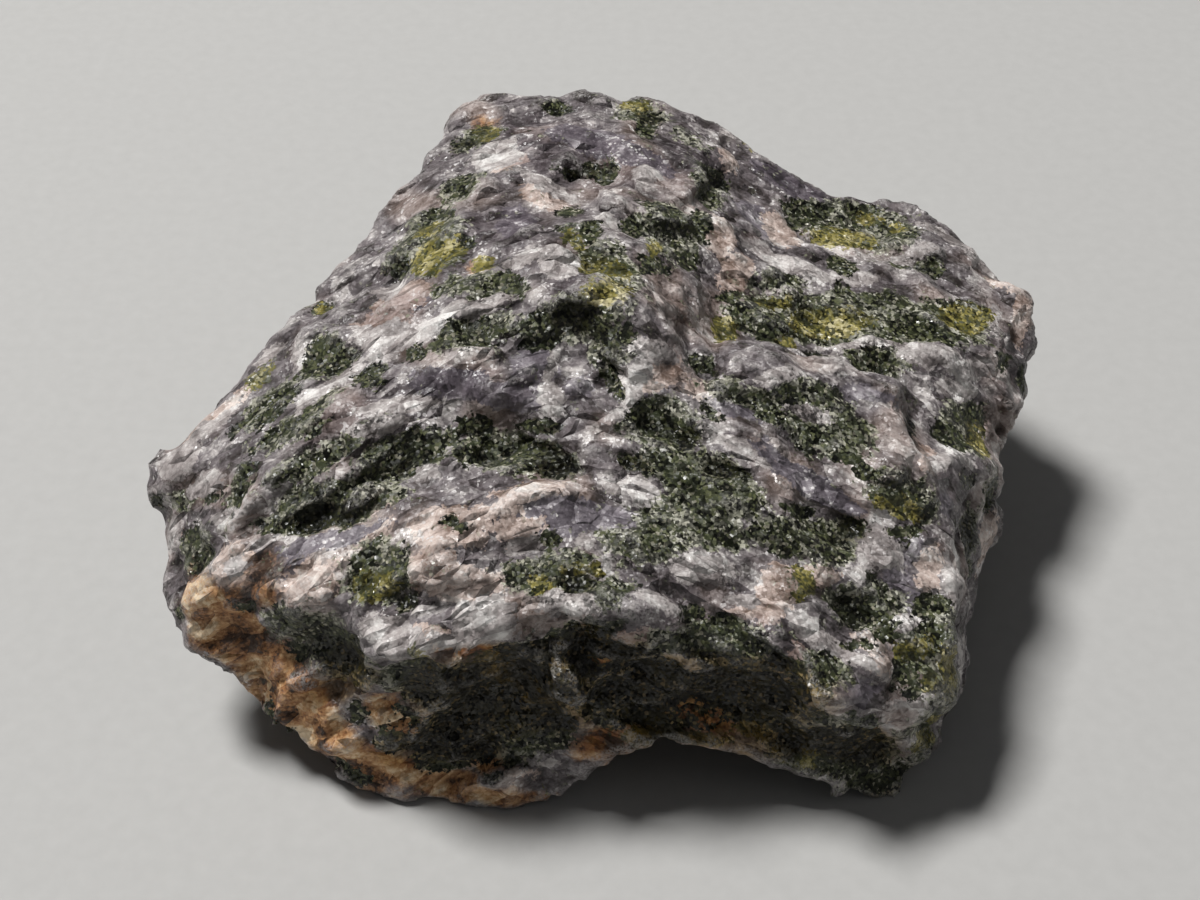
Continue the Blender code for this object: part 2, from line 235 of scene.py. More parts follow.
# %% Clots on the top and the right
CLOTS_TOP = [
    (565, 176, 12, 9, 0), (590, 170, 9, 9, 80), (612, 372, 17, 20, 80), (540, 642, 30, 20, 0),
    (646, 126, 16, 12, 60), (557, 110, 14, 8, 0), (465, 140, 14, 11, 30), (458, 180, 18, 10, 35),
    (606, 173, 15, 11, 90), (440, 212, 22, 9, -10), (402, 252, 20, 15, 80), (397, 271, 12, 9, 0),
    (461, 246, 10, 8, 0), (568, 213, 18, 10, 40), (569, 230, 12, 7, 0), (593, 231, 12, 12, 0),
    (660, 205, 22, 9, -10), (690, 262, 24, 10, 10), (656, 262, 16, 9, 0), (713, 178, 22, 16, -20),
    (635, 222, 12, 12, 0), (532, 325, 22, 13, 10), (510, 283, 16, 10, 0), (484, 344, 16, 6, 0),
    (540, 340, 24, 11, 10), (610, 330, 24, 14, 0), (457, 331, 22, 11, 15), (415, 352, 16, 7, 30),
    (700, 225, 10, 26, 0), (370, 380, 16, 8, 10),
]
CLOTS_RIGHT = [
    (805, 210, 30, 13, -5), (792, 225, 12, 9, 90), (860, 210, 22, 8, 10), (842, 264, 16, 13, 0),
    (904, 270, 18, 7, 0), (932, 271, 11, 9, 0), (912, 236, 11, 8, 0), (780, 281, 18, 8, 15),
    (733, 296, 26, 7, 5), (945, 335, 18, 9, 0), (960, 312, 22, 10, 0), (697, 368, 18, 11, -25),
    (1005, 362, 12, 7, 90), (1025, 378, 16, 8, 80), (875, 362, 14, 12, 90), (840, 292, 10, 8, 90),
    (950, 437, 20, 16, -30), (978, 420, 22, 16, 80), (1007, 450, 56, 9, 75), (971, 482, 11, 8, 0),
    (987, 490, 20, 9, 70), (771, 416, 14, 6, -20), (713, 409, 12, 8, -20), (810, 437, 14, 13, 0),
    (847, 417, 12, 6, -20), (848, 460, 22, 9, -15), (866, 472, 14, 7, -20), (800, 510, 20, 9, -15),
    (776, 330, 20, 16, 0), (905, 328, 16, 13, 0), (740, 318, 14, 12, 0), (800, 322, 12, 10, 0),
    (780, 392, 24, 6, -5), (830, 392, 18, 6, -15), (905, 500, 30, 12, -15),
]
print("clots on the top and the right:", len(CLOTS_TOP), len(CLOTS_RIGHT))

# %% Clots on the left and in the middle
CLOTS_LEFT = [
    (325, 360, 26, 22, 0), (324, 308, 15, 9, 20), (293, 393, 14, 7, 10), (247, 469, 12, 8, 60),
    (297, 469, 26, 7, 30), (332, 457, 22, 7, 30), (381, 448, 20, 7, 25), (380, 470, 26, 11, 20),
    (422, 447, 24, 18, 0), (270, 524, 22, 7, 0), (476, 427, 20, 9, 0), (374, 376, 16, 12, 60),
    (193, 532, 18, 8, 20), (206, 562, 20, 13, 60), (240, 497, 22, 5, 75), (153, 504, 8, 5, -30),
    (213, 498, 14, 6, 30), (330, 490, 56, 7, 18), (457, 526, 10, 6, 0), (403, 575, 22, 6, 90),
    (298, 613, 26, 15, 0), (340, 650, 34, 22, -20), (300, 647, 14, 8, -40), (358, 712, 12, 11, 0),
    (392, 742, 15, 11, 0), (350, 772, 24, 10, -15), (406, 712, 10, 9, 0), (275, 408, 26, 8, 50),
    (180, 612, 12, 8, 0), (243, 606, 26, 8, 10), (455, 440, 14, 8, 10), (365, 560, 18, 12, 50),
    (385, 590, 14, 12, 0), (270, 437, 20, 4, 40), (235, 425, 18, 4, 45), (310, 432, 20, 4, 30),
]
CLOTS_MIDDLE = [
    (617, 385, 10, 8, 90), (645, 412, 22, 10, 20), (668, 432, 34, 13, -10), (540, 424, 24, 5, 3),
    (520, 456, 50, 18, -8), (470, 452, 20, 12, 0), (532, 587, 15, 10, 0), (550, 543, 12, 7, 0),
    (905, 530, 15, 9, 0), (868, 606, 30, 14, 0), (890, 630, 16, 10, 0), (931, 606, 20, 14, 0),
    (690, 612, 14, 10, 0), (857, 646, 12, 6, 0), (828, 668, 18, 11, -20), (904, 672, 14, 12, 0),
    (909, 690, 10, 7, 0), (797, 670, 14, 11, 0), (870, 582, 10, 5, 30), (970, 570, 12, 9, 0),
    (512, 572, 14, 16, 0), (700, 482, 40, 12, -25), (665, 466, 24, 8, -30), (825, 543, 34, 12, -15),
    (783, 547, 14, 13, 0), (765, 535, 16, 9, -20), (560, 568, 18, 7, 0), (620, 594, 18, 9, 20),
]
print("clots on the left and in the middle:", len(CLOTS_LEFT), len(CLOTS_MIDDLE))

# %% Clots and painted shade on the front
# Partly dark clots and partly painted shade: the wide blobs at the end of this row darken the whole
# undercut front, where shade falls.
CLOTS_AND_SHADE_FRONT = [
    (528, 668, 34, 14, -15), (600, 620, 22, 10, 0), (582, 655, 17, 10, 90), (715, 643, 62, 15, 0),
    (715, 625, 24, 9, 0), (725, 692, 50, 20, 0), (800, 690, 20, 10, 0), (620, 702, 34, 26, 0),
    (425, 680, 36, 20, 0), (475, 722, 50, 30, 0), (560, 640, 24, 20, 0), (760, 720, 40, 16, -10),
    (850, 745, 50, 26, -15), (880, 780, 30, 14, 0), (500, 700, 30, 16, 0), (545, 740, 30, 16, 10),
    (660, 712, 30, 14, 0), (930, 640, 16, 16, 0), (860, 718, 22, 8, -20), (440, 760, 30, 14, 0),
    (500, 695, 60, 34, 0), (690, 700, 90, 36, 0), (840, 752, 56, 28, -20), (430, 735, 50, 24, -10),
]
print("clots on the front:", len(CLOTS_AND_SHADE_FRONT))

# %% [markdown]
# ### Granular mix
#
# Round the clots, pyroxene and feldspar are mixed grain by grain, like salt and
# pepper. The mix gets blobs of its own, wider than the clots inside them.

# %% Granular mix
GRANULAR_MIX = [
    (425, 243, 50, 40, 60), (480, 135, 28, 18, 50), (462, 186, 26, 18, 30), (640, 113, 28, 14, -10),
    (672, 232, 44, 38, 80), (612, 268, 52, 26, -42), (480, 288, 50, 15, 0), (575, 318, 62, 24, 12),
    (470, 330, 50, 16, 20), (612, 350, 28, 28, 80), (850, 230, 70, 34, -8), (850, 318, 155, 29, 0),
    (955, 322, 50, 26, 0), (905, 268, 34, 11, -5), (785, 280, 36, 12, 10), (875, 362, 34, 17, 0),
    (820, 420, 60, 34, -30), (965, 425, 36, 30, 60), (1003, 440, 64, 13, 75), (985, 490, 26, 14, 70),
    (905, 495, 46, 22, -20), (810, 540, 66, 22, -8), (970, 535, 30, 18, 60), (665, 425, 50, 26, -10),
    (705, 482, 70, 30, -25), (690, 525, 66, 26, -15), (520, 455, 62, 27, -6), (325, 360, 32, 26, 0),
    (265, 402, 40, 18, 50), (300, 465, 50, 16, 28), (405, 460, 50, 22, 25), (330, 505, 80, 24, 12),
    (235, 495, 30, 10, 70), (198, 548, 28, 18, 60), (180, 500, 28, 9, 10), (378, 572, 36, 34, 0),
    (560, 580, 66, 26, -5), (305, 625, 44, 24, 0), (345, 660, 44, 30, -20), (430, 685, 50, 30, -10),
    (480, 728, 76, 38, -5), (545, 665, 64, 44, 0), (640, 690, 84, 44, 0), (740, 690, 94, 46, -8),
    (830, 740, 96, 42, -18), (880, 782, 50, 22, 0), (700, 638, 74, 18, 0), (870, 606, 50, 22, -5),
    (932, 642, 40, 36, 85), (932, 705, 54, 28, 80), (925, 755, 28, 24, 60), (826, 672, 28, 16, -20),
    (690, 140, 22, 12, -30), (708, 190, 18, 24, 0), (640, 545, 50, 20, 0), (300, 420, 60, 14, 35),
    (345, 440, 60, 10, 30), (760, 395, 60, 12, -10),
]
print("granular patches:", len(GRANULAR_MIX))

# %% [markdown]
# ### Pale feldspar
#
# Feldspar fills what the pyroxene leaves. Its lilac grey is the stone's ground
# colour, so only what differs from it is sketched: milk-white streaks along
# the bands, peach-coloured grains, and clear lilac ones.

# %% White feldspar
WHITE_TOP = [
    (525, 97, 40, 8, 0), (500, 155, 26, 22, 60), (545, 188, 42, 9, -30), (560, 262, 26, 24, 70),
    (528, 260, 24, 10, 15), (612, 222, 18, 7, -15), (646, 175, 16, 12, 0), (392, 292, 18, 12, 0),
    (475, 308, 46, 8, 20), (398, 336, 48, 15, 8), (660, 354, 20, 10, -20), (553, 365, 30, 5, 72),
    (553, 400, 18, 15, 90), (634, 383, 34, 10, 60), (618, 412, 18, 10, 30), (640, 345, 18, 6, -20),
]
WHITE_RIGHT = [
    (785, 262, 50, 10, -26), (850, 278, 34, 8, 0), (902, 262, 40, 9, 24), (960, 245, 56, 8, -38),
    (865, 346, 50, 5, 3), (930, 354, 34, 12, 0), (926, 361, 12, 8, 0), (970, 370, 40, 12, 5),
    (960, 388, 38, 8, -10), (778, 377, 30, 6, 0), (810, 412, 26, 8, -25), (735, 450, 46, 4, -28),
    (742, 458, 34, 4, -25), (725, 437, 28, 4, -28), (890, 481, 14, 4, 0), (887, 540, 32, 7, -62),
    (878, 552, 24, 18, 30), (863, 575, 12, 9, 0), (950, 578, 28, 8, 90), (957, 552, 36, 3, 93),
    (960, 590, 18, 3, 80), (937, 463, 18, 11, 0), (963, 458, 34, 5, -32), (995, 318, 8, 26, 0),
    (860, 190, 60, 5, -18), (790, 170, 50, 6, -30),
]
WHITE_LEFT = [
    (178, 462, 30, 14, 20), (205, 484, 30, 12, 20), (254, 507, 14, 8, 0), (238, 562, 12, 7, 0),
    (270, 355, 20, 9, 35), (300, 355, 16, 9, 70), (400, 408, 40, 10, 5), (375, 428, 36, 9, 5),
    (422, 335, 26, 9, 30), (384, 355, 26, 8, 25), (341, 379, 32, 8, 35), (310, 401, 20, 8, 40),
    (175, 535, 12, 20, 0), (230, 515, 22, 8, 10), (205, 430, 40, 6, 42), (320, 392, 30, 5, 40),
]
WHITE_FRONT = [
    (612, 484, 17, 6, 18), (632, 494, 12, 5, -24), (583, 544, 10, 6, 0), (525, 545, 22, 7, 0),
    (395, 640, 42, 20, -20), (483, 618, 30, 22, 0), (470, 680, 14, 8, 0), (452, 664, 12, 8, 0),
    (422, 708, 10, 8, 0), (683, 661, 24, 6, -28), (826, 644, 40, 10, -25), (854, 662, 16, 7, -32),
    (880, 678, 12, 5, 12), (812, 628, 26, 12, -30), (652, 603, 24, 10, -10), (568, 604, 34, 11, 0),
    (904, 702, 16, 5, 0), (885, 728, 14, 8, 90), (912, 742, 16, 9, -15), (793, 688, 28, 5, -32),
    (960, 662, 34, 5, 92), (744, 751, 10, 6, 0), (546, 761, 14, 5, 0), (427, 474, 14, 9, 0),
    (910, 620, 18, 8, 0), (455, 640, 30, 9, 0), (600, 570, 30, 8, 20), (700, 570, 36, 14, -10),
    (740, 600, 16, 8, 0),
]
print("white patches:", len(WHITE_TOP + WHITE_RIGHT + WHITE_LEFT + WHITE_FRONT))

# %% Peach and lilac feldspar
PEACH = [
    (728, 160, 14, 10, 90), (735, 275, 26, 18, 50), (698, 391, 20, 10, 0), (1022, 318, 34, 13, 85),
    (175, 530, 10, 10, 0), (215, 415, 40, 10, 42), (362, 547, 34, 8, 40), (495, 510, 30, 9, 10),
    (520, 530, 24, 16, 0), (430, 572, 36, 20, 0), (465, 585, 46, 18, 0), (318, 572, 24, 14, 0),
    (533, 490, 46, 10, 12), (775, 598, 34, 24, 60), (822, 572, 16, 14, 0), (930, 566, 18, 14, 90),
    (926, 584, 16, 13, 0), (925, 460, 24, 16, 60), (870, 640, 18, 12, 0), (430, 640, 34, 12, 0),
    (410, 729, 11, 9, 90), (310, 582, 34, 20, 0), (235, 565, 26, 24, 0), (632, 638, 34, 15, 0),
    (608, 660, 22, 14, 90), (560, 700, 26, 9, 88), (570, 672, 12, 12, 0), (715, 669, 30, 8, 0),
    (804, 664, 20, 13, -30), (755, 612, 28, 13, 0), (490, 622, 20, 18, 90), (877, 667, 20, 12, 0),
    (520, 773, 13, 6, 0), (507, 791, 10, 7, 0), (980, 585, 26, 12, 60), (985, 545, 34, 14, 80),
    (450, 530, 44, 26, 0), (780, 235, 20, 30, 0), (400, 300, 34, 16, 20), (385, 325, 30, 14, 10),
    (545, 200, 34, 12, -30), (720, 240, 20, 26, 0), (505, 165, 22, 20, 0), (1010, 285, 26, 12, -40),
    (660, 375, 30, 18, 30), (375, 505, 24, 14, 20),
]
LILAC = [
    (655, 389, 20, 11, 0), (578, 385, 14, 13, 0), (760, 225, 36, 20, -50), (790, 185, 50, 12, -30),
    (800, 478, 76, 13, -32), (897, 578, 17, 15, 90), (907, 547, 18, 16, 90), (950, 507, 14, 11, 90),
    (908, 602, 16, 14, 0), (514, 222, 30, 20, 90), (535, 362, 26, 20, 0), (858, 692, 30, 12, 0),
    (500, 395, 60, 16, -5), (590, 140, 46, 18, -20), (330, 540, 60, 10, 12), (300, 570, 22, 14, 0),
    (560, 520, 50, 22, 0), (640, 160, 40, 16, -30), (450, 385, 40, 20, 0), (610, 520, 40, 18, 0),
    (860, 395, 50, 10, -5), (730, 405, 40, 8, -28), (430, 300, 30, 8, 15),
]
print("peach and lilac patches:", len(PEACH), len(LILAC))

# %% [markdown]
# ### Toned-down parts and painted front shade
#
# Some wide parts are darker as a whole, whatever the mineral. Parts of the hump, the left slope and the
# front edge are toned down to a duller grey. The undercut front is darkened towards brown as painted
# shade. They get blobs of their own, which only tone the colours under them down.

# %% Toned-down parts and painted front shade
TONED_DOWN = [
    (560, 145, 110, 46, -20), (690, 165, 46, 52, 0), (500, 228, 52, 36, 0), (590, 300, 56, 28, -30),
    (480, 385, 76, 22, 0), (800, 190, 56, 22, -30), (400, 310, 50, 18, 20), (330, 430, 60, 22, 35),
    (700, 640, 130, 30, -5),
]
# Painted shade: blobs that darken the undercut front towards brown.
PAINTED_FRONT_SHADE = [
    (510, 690, 110, 60, 0), (700, 690, 150, 44, 0), (600, 655, 60, 34, 0), (345, 675, 64, 26, 24),
    (860, 745, 56, 26, -20), (710, 738, 140, 30, 0), (430, 740, 70, 30, 20), (450, 745, 60, 30, 0),
]
print("smoky and umber parts:", len(TONED_DOWN), len(PAINTED_FRONT_SHADE))

# %% [markdown]
# ### Olive grains and rust
#
# Weathering has turned some grains in and beside the clots yellow-olive. Iron
# from the rock has stained the left foot and runs as small spots elsewhere.

# %% Yellow-olive grains and rust
YELLOW = [
    (486, 130, 14, 18, 0), (430, 232, 20, 12, 0), (437, 258, 30, 22, 0), (485, 265, 12, 9, 0),
    (652, 245, 20, 9, 90), (612, 268, 36, 13, -35), (608, 292, 26, 12, 0), (842, 243, 38, 15, 0),
    (866, 219, 11, 7, 0), (897, 230, 10, 8, 0), (722, 332, 26, 16, 90), (772, 303, 20, 8, 0),
    (786, 345, 20, 8, 10), (828, 322, 50, 15, 0), (324, 308, 12, 7, 0), (258, 375, 20, 8, 50),
    (898, 504, 26, 12, -15), (978, 440, 22, 18, 80), (1008, 440, 46, 8, 80), (938, 708, 20, 14, 80),
    (914, 648, 18, 14, 0), (924, 680, 14, 10, 0), (922, 740, 20, 13, 0), (928, 765, 14, 10, 0),
    (945, 670, 26, 13, 85), (813, 690, 10, 7, 0), (798, 757, 24, 13, -10), (703, 743, 34, 7, -5),
    (650, 735, 36, 9, 0), (512, 680, 36, 12, -18), (487, 662, 18, 9, 0), (537, 585, 16, 11, 0),
    (580, 571, 24, 7, 0), (378, 585, 24, 16, 0), (803, 583, 20, 14, 90), (965, 318, 36, 15, 0),
    (635, 107, 16, 9, 0), (418, 655, 8, 12, 0), (755, 735, 24, 8, -10), (540, 705, 18, 8, 0),
    (575, 240, 14, 8, -40), (590, 268, 14, 16, 0),
]
RUST = [
    (228, 640, 38, 28, 0), (275, 668, 44, 32, 0), (296, 712, 38, 28, -30), (335, 742, 42, 24, -30),
    (388, 768, 38, 12, -15), (372, 786, 14, 6, 0), (330, 784, 20, 10, 0), (384, 708, 20, 14, 0),
    (250, 695, 16, 13, 0), (277, 735, 14, 11, 0), (485, 760, 24, 9, 0), (475, 652, 32, 8, 0),
    (705, 721, 42, 13, -10), (606, 736, 24, 11, 15), (590, 746, 14, 10, 0), (871, 730, 13, 10, 0),
    (262, 567, 15, 9, 0), (240, 588, 12, 9, 0), (268, 590, 14, 13, 0), (480, 795, 66, 9, 0),
    (600, 660, 18, 16, 0), (478, 268, 6, 4, 0), (486, 118, 7, 5, 0), (225, 620, 60, 30, -50),
    (290, 700, 70, 34, -42), (370, 765, 60, 20, -15), (440, 780, 50, 13, -8), (200, 590, 30, 16, -60),
    (400, 720, 30, 12, -20),
]
print("olive and rusty patches:", len(YELLOW), len(RUST))

# %% [markdown]
# ## From a sketch to blobs on the stone
#
# A blob is an ellipsoid: its length and width come from the sketch, and its
# depth is a little more than its width, because a clot of mineral goes on into
# the rock. Each point of the skin gets one distance a mineral: how far inside
# the nearest blob it lies, in millimetres, or how far outside, below zero.
# A distance stays true between the skin's points, so the material can later
# cut a far crisper edge from it than colours painted on the points would give.
# The distances are measured in a space that two noises have warped, a wide and
# a fine one, so that no blob keeps the even outline of an ellipse. Blender's
# vector noise takes its seed from the clock if none is set, so one is set, and
# every run makes the same stone.

# %% Find the blobs on the stone
DEPTH_TO_SIZE = 1.5
LEAST_DEPTH = 1.5



def blob_in_picture(u, v, half_length, half_width, tilt):
    """A sketched blob's middle, three axes and three half sizes on the stone, in millimetres."""
    slope_across = (u - PICTURE_WIDTH / 2) / PIXELS_PER_SLOPE
    slope_up = (PICTURE_HEIGHT / 2 - v) / PIXELS_PER_SLOPE
    ray = (sight + across * slope_across + upward * slope_up).normalized()
    middle = tree.ray_cast(eye, ray)[0]
    if middle is None:
        return None
    size = (middle - eye).dot(sight) / PIXELS_PER_SLOPE / MM
    turn = math.radians(tilt)
    long_way = across * math.cos(turn) + upward * math.sin(turn)
    axes = np.array((long_way, sight.cross(long_way), sight))
    depth = max(LEAST_DEPTH, DEPTH_TO_SIZE * size * math.sqrt(half_length * half_width))
    return np.array(middle) / MM, axes, np.array((half_length * size, half_width * size, depth))


def sketched(*lists):
    """The blobs of some sketched lists that the camera's rays find."""
    found = [blob_in_picture(*patch) for patches in lists for patch in patches]
    return [blob for blob in found if blob]


minerals = {
    "pit": sketched(BLACK_PITS_AND_SHADE),
    "clot": sketched(BLACK_PITS_AND_SHADE, CLOTS_TOP, CLOTS_RIGHT, CLOTS_LEFT, CLOTS_MIDDLE, CLOTS_AND_SHADE_FRONT),
    "granular": sketched(GRANULAR_MIX),
    "white": sketched(WHITE_TOP, WHITE_RIGHT, WHITE_LEFT, WHITE_FRONT),
    "peach": sketched(PEACH),
    "lilac": sketched(LILAC),
    "yellow": sketched(YELLOW),
    "rust": sketched(RUST),
    "toned_down": sketched(TONED_DOWN),
    "painted_front_shade": sketched(PAINTED_FRONT_SHADE),
    "filled": sketched(FILLED_HOLLOWS),
}
print("blobs:", {name: len(blobs) for name, blobs in minerals.items()})

# %% Measure how deep a point lies in them
NOISE_SEED = 5
FAR_OUTSIDE = -2.0
BLOB_MARGIN = 2.5
WIDE_WARP = {"seed": 3.1, "size": 2.4, "amount": 0.45}
FINE_WARP = {"seed": 8.7, "size": 0.8, "amount": 0.25}


def warped(place, seed, size, amount):
    """Rows of points pushed about by a smooth noise."""
    shift = [noise.noise_vector(Vector(row) / size + Vector((seed, 0, 0))) for row in place]
    return place + amount * np.array(shift)


noise.seed_set(NOISE_SEED)
loose = warped(warped(points, **WIDE_WARP), **FINE_WARP)


def depth_inside(blobs):
    """For every point of the skin, how far inside the nearest of some blobs it lies, in millimetres."""
    inside = np.full(len(loose), FAR_OUTSIDE)
    for middle, axes, halves in blobs:
        near = np.flatnonzero(np.abs(loose - middle).max(axis=1) < halves.max() + BLOB_MARGIN)
        reach = np.linalg.norm((loose[near] - middle) @ axes.T / halves, axis=1)
        inside[near] = np.maximum(inside[near], (1 - reach) * math.sqrt(halves[0] * halves[1]))
    return inside


print("warped by up to", np.abs(loose - points).max().round(2), "mm")

# %% [markdown]
# ## The sides that the picture hides
#
# The back, the ends and the underside are broken from the same rock, so they
# get blobs of the same sizes and in the same shares, scattered at random along
# the bands. The seed is fixed, so every run makes the same stone. A blob is
# left out where the camera sees the stone, as the sketch is complete there.

# %% Find what the camera sees
LIFT = 0.1

to_eye = np.array(eye) / MM - points
to_eye /= np.linalg.norm(to_eye, axis=1)[:, None]
facing_eye = (to_eye * normals).sum(axis=1)


def seen(row):
    """Whether nothing stands between the camera and a point of the skin."""
    place = Vector(points[row]) * MM + Vector(normals[row]) * LIFT * MM
    return facing_eye[row] > 0 and tree.ray_cast(place, (eye - place).normalized())[0] is None


in_sight = [row for row in range(len(points)) if seen(row)]
sight_tree = KDTree(len(in_sight))
for order, row in enumerate(in_sight):
    sight_tree.insert(points[row], order)
sight_tree.balance()
print("points in sight:", len(in_sight))

# %% [markdown]
# ### Scattering
#
# Each mineral has a row of four numbers: how many blobs, their least and most
# half length in millimetres, and their width as a share of their length. Small
# blobs are commoner than large ones. A blob keeps clear of the seen side by
# most of its own length, so that none of it creeps over the edge.

# %% Scatter blobs over the hidden sides
SCATTER_SEED = 11
SCATTERED = {
    "pit": (70, 0.5, 2.0, 0.4),
    "clot": (190, 0.6, 2.8, 0.5),
    "granular": (75, 1.5, 5.0, 0.5),
    "white": (120, 0.6, 3.4, 0.35),
    "peach": (75, 0.8, 3.2, 0.5),
    "lilac": (45, 0.9, 4.0, 0.4),
    "yellow": (75, 0.6, 2.4, 0.55),
    "rust": (34, 0.8, 2.8, 0.7),
}
CLEAR_OF_SIGHT = 0.7
SLIMNESS_RANGE = (0.7, 1.4)
LEAN_SPREAD = 0.25

chance = random.Random(SCATTER_SEED)


def scattered(count, least, most, slimness):
    """Blobs of random size on the hidden sides, each lying along the bands."""
    blobs = []
    while len(blobs) < count:
        row = chance.randrange(len(points))
        half_length = least + (most - least) * chance.random() ** 2
        slim = slimness * chance.uniform(*SLIMNESS_RANGE)
        lean = chance.gauss(0, LEAN_SPREAD)
        if sight_tree.find(points[row])[2] < CLEAR_OF_SIGHT * half_length:
            continue
        x = points[row][0] - BAND_TOP
        fall = -x / math.hypot(x, BAND_BEND)
        long_way = Vector((1, BAND_RISE[1] * fall, BAND_RISE[2] * fall + lean)).normalized()
        outward = Vector(normals[row])
        long_way = (long_way - outward * long_way.dot(outward)).normalized()
        axes = np.array((long_way, outward.cross(long_way), outward))
        halves = np.array((half_length, half_length * slim, max(LEAST_DEPTH, half_length * slim)))
        blobs.append((points[row], axes, halves))
    return blobs


for name, (count, least, most, slimness) in SCATTERED.items():
    minerals[name] += scattered(count, least, most, slimness)
print("blobs with the hidden sides:", {name: len(blobs) for name, blobs in minerals.items()})

# %% [markdown]
# ### How deep each point lies in each mineral
#
# Clots and pits give way to the rusty parts, where the photo shows none, and a
# pit is always part of a clot. The shares of the skin show whether the rock is
# right: about a fifth of it is clots, and a quarter is the granular mix.

# %% Measure the depths
CLEAR_OF_RUST = 0.6

inside = {name: depth_inside(blobs) for name, blobs in minerals.items()}
for name in ("pit", "clot"):
    inside[name] = np.minimum(inside[name], CLEAR_OF_RUST - inside["rust"])
inside["clot"] = np.maximum(inside["clot"], inside["pit"])
shares = {name: round(float((depth > 0).mean()), 2) for name, depth in inside.items()}
print("share of the skin:", shares)

# %% [markdown]
# ## Breaking the surface
#
# Rock breaks from grain to grain. Feldspar parts along flat cleavage planes, so
# the skin is pressed into many-sided crystal faces of three sizes. Each is one
# cell of a Voronoi pattern, raised or sunken. Its height grows from the cell's
# rim inwards, which leaves straight creases between flat sides.

# %% Crystal faces
SKIN_CRYSTALS = [
    {"size": 4.4, "stretch": 1.6, "steepness": 0.55},
    {"size": 2.2, "stretch": 1.4, "steepness": 0.75},
    {"size": 1.25, "stretch": 1.2, "steepness": 0.50},
]
SUNKEN_SHARE = 0.45
LOT_SPACING = 7.3


def crystal_heights(size, stretch, steepness):
    """The height at every point of the many-sided crystal face that it lies on."""
    heights = np.empty(len(banded))
    for row, (x, y, z) in enumerate(banded):
        distances, middles = noise.voronoi(Vector((x / stretch, y, z)) / size)
        turn = noise.cell_vector(middles[0] * LOT_SPACING).x - SUNKEN_SHARE
        heights[row] = steepness * size * turn * (distances[1] - distances[0])
    return heights


crystals = sum(crystal_heights(**sizes) for sizes in SKIN_CRYSTALS)
print("crystal faces from", crystals.min().round(2), "to", crystals.max().round(2), "mm")

# %% [markdown]
# ### Crests and grit
#
# Fine crests follow the bands, where feldspar has torn along its grain. Grit
# covers the clots and the granular mix, because pyroxene crumbles, and is
# faint on the feldspar.

# %% Crests and grit
RIDGE_SIZE = 1.8
RIDGE_STRETCH = 2.6
RIDGE_HEIGHT = 0.05
RIDGE_OCTAVES = 3
GRIT_SIZE = 0.6
GRIT_HEIGHT = 0.08
GRIT_ON_FELDSPAR = 0.3


def ridge_heights():
    """Sharp crests drawn out along the bands, from about -1 to 1."""
    heights = np.empty(len(banded))
    for row, (x, y, z) in enumerate(banded):
        place = Vector((x / RIDGE_STRETCH, y, z)) / RIDGE_SIZE
        heights[row] = noise.ridged_multi_fractal(place, 1.0, 2.1, RIDGE_OCTAVES, 1.0, 2.0)
    return (heights - heights.mean()) / (2 * heights.std())


def grit_heights(size):
    """A rough noise at every point, from about -1 to 1."""
    return np.array([noise.fractal(Vector(row) / size, 1.0, 2.0, 2) for row in points])


ridges = RIDGE_HEIGHT * ridge_heights()
grit = GRIT_HEIGHT * grit_heights(GRIT_SIZE)
print("grit from", grit.min().round(2), "to", grit.max().round(2), "mm")

# %% [markdown]
# ### Moving the points
#
# Clots sink a little and the black pits go deepest, so that they hold real
# shadow. The pale ribs stand proud, and the hollows that are too deep are
# filled in part. Near the ground all of it fades out, so the spots that the
# stone rests on stay flat, and nothing leaves the box of the solid.

# %% Move the points
PIT_DEPTH = 0.14
CLOT_DEPTH = 0.10
RIB_HEIGHT = 0.11
FILL_HEIGHT = 0.75
REST_FADE = 1.2
REST_START = 0.02
GLASSY_EVENNESS = 0.5


def step_up(value, low, high):
    """0 below low, 1 above high and a smooth step between them."""
    t = np.clip((value - low) / (high - low), 0, 1)
    return t * t * (3 - 2 * t)


in_clot = step_up(inside["clot"], -0.3, 0.3)
in_mix = step_up(inside["granular"], -0.3, 0.3)
height = crystals + ridges
height *= 1 - GLASSY_EVENNESS * step_up(inside["lilac"], -0.2, 0.4)
height += grit * (GRIT_ON_FELDSPAR + (1 - GRIT_ON_FELDSPAR) * np.maximum(in_clot, in_mix))
height -= CLOT_DEPTH * in_clot + PIT_DEPTH * step_up(inside["pit"], -0.8, 0.9)
height += RIB_HEIGHT * step_up(np.maximum(inside["white"], inside["peach"]), -0.3, 0.5)
height += FILL_HEIGHT * step_up(inside["filled"], -0.6, 1.0)
height *= step_up(points[:, 2], REST_START, REST_FADE)

carved = points + normals * height[:, None]
carved[:, 2] = np.maximum(carved[:, 2], 0)
low, high = (np.array(corner) / MM for corner in CAD_BOX)
carved = np.clip(carved, low, high)
skin.vertices.foreach_set("co", (carved * MM).ravel())
skin.update()
print("surface moved from", height.min().round(2), "to", height.max().round(2), "mm")

# %% [markdown]
# ## Sharp edges and hollows
#
# Edges of a broken stone are bruised pale where they were knocked, and dust
# and shadow gather in its hollows. How far a point stands out from the middle
# of its neighbours says which of the two it is. The neighbours are averaged a
# few times over, so that the measure reads edges about a millimetre wide.

# %% Measure how far each point stands out
SMOOTHINGS = 8

pairs = np.array([edge.vertices[:] for edge in skin.edges])
ways = np.bincount(pairs.ravel(), minlength=len(carved))[:, None]


def averaged(rows):
    """Each row replaced by the mean of its neighbours' rows."""
    total = np.zeros_like(rows)
    np.add.at(total, pairs[:, 0], rows[pairs[:, 1]])
    np.add.at(total, pairs[:, 1], rows[pairs[:, 0]])
    return total / ways


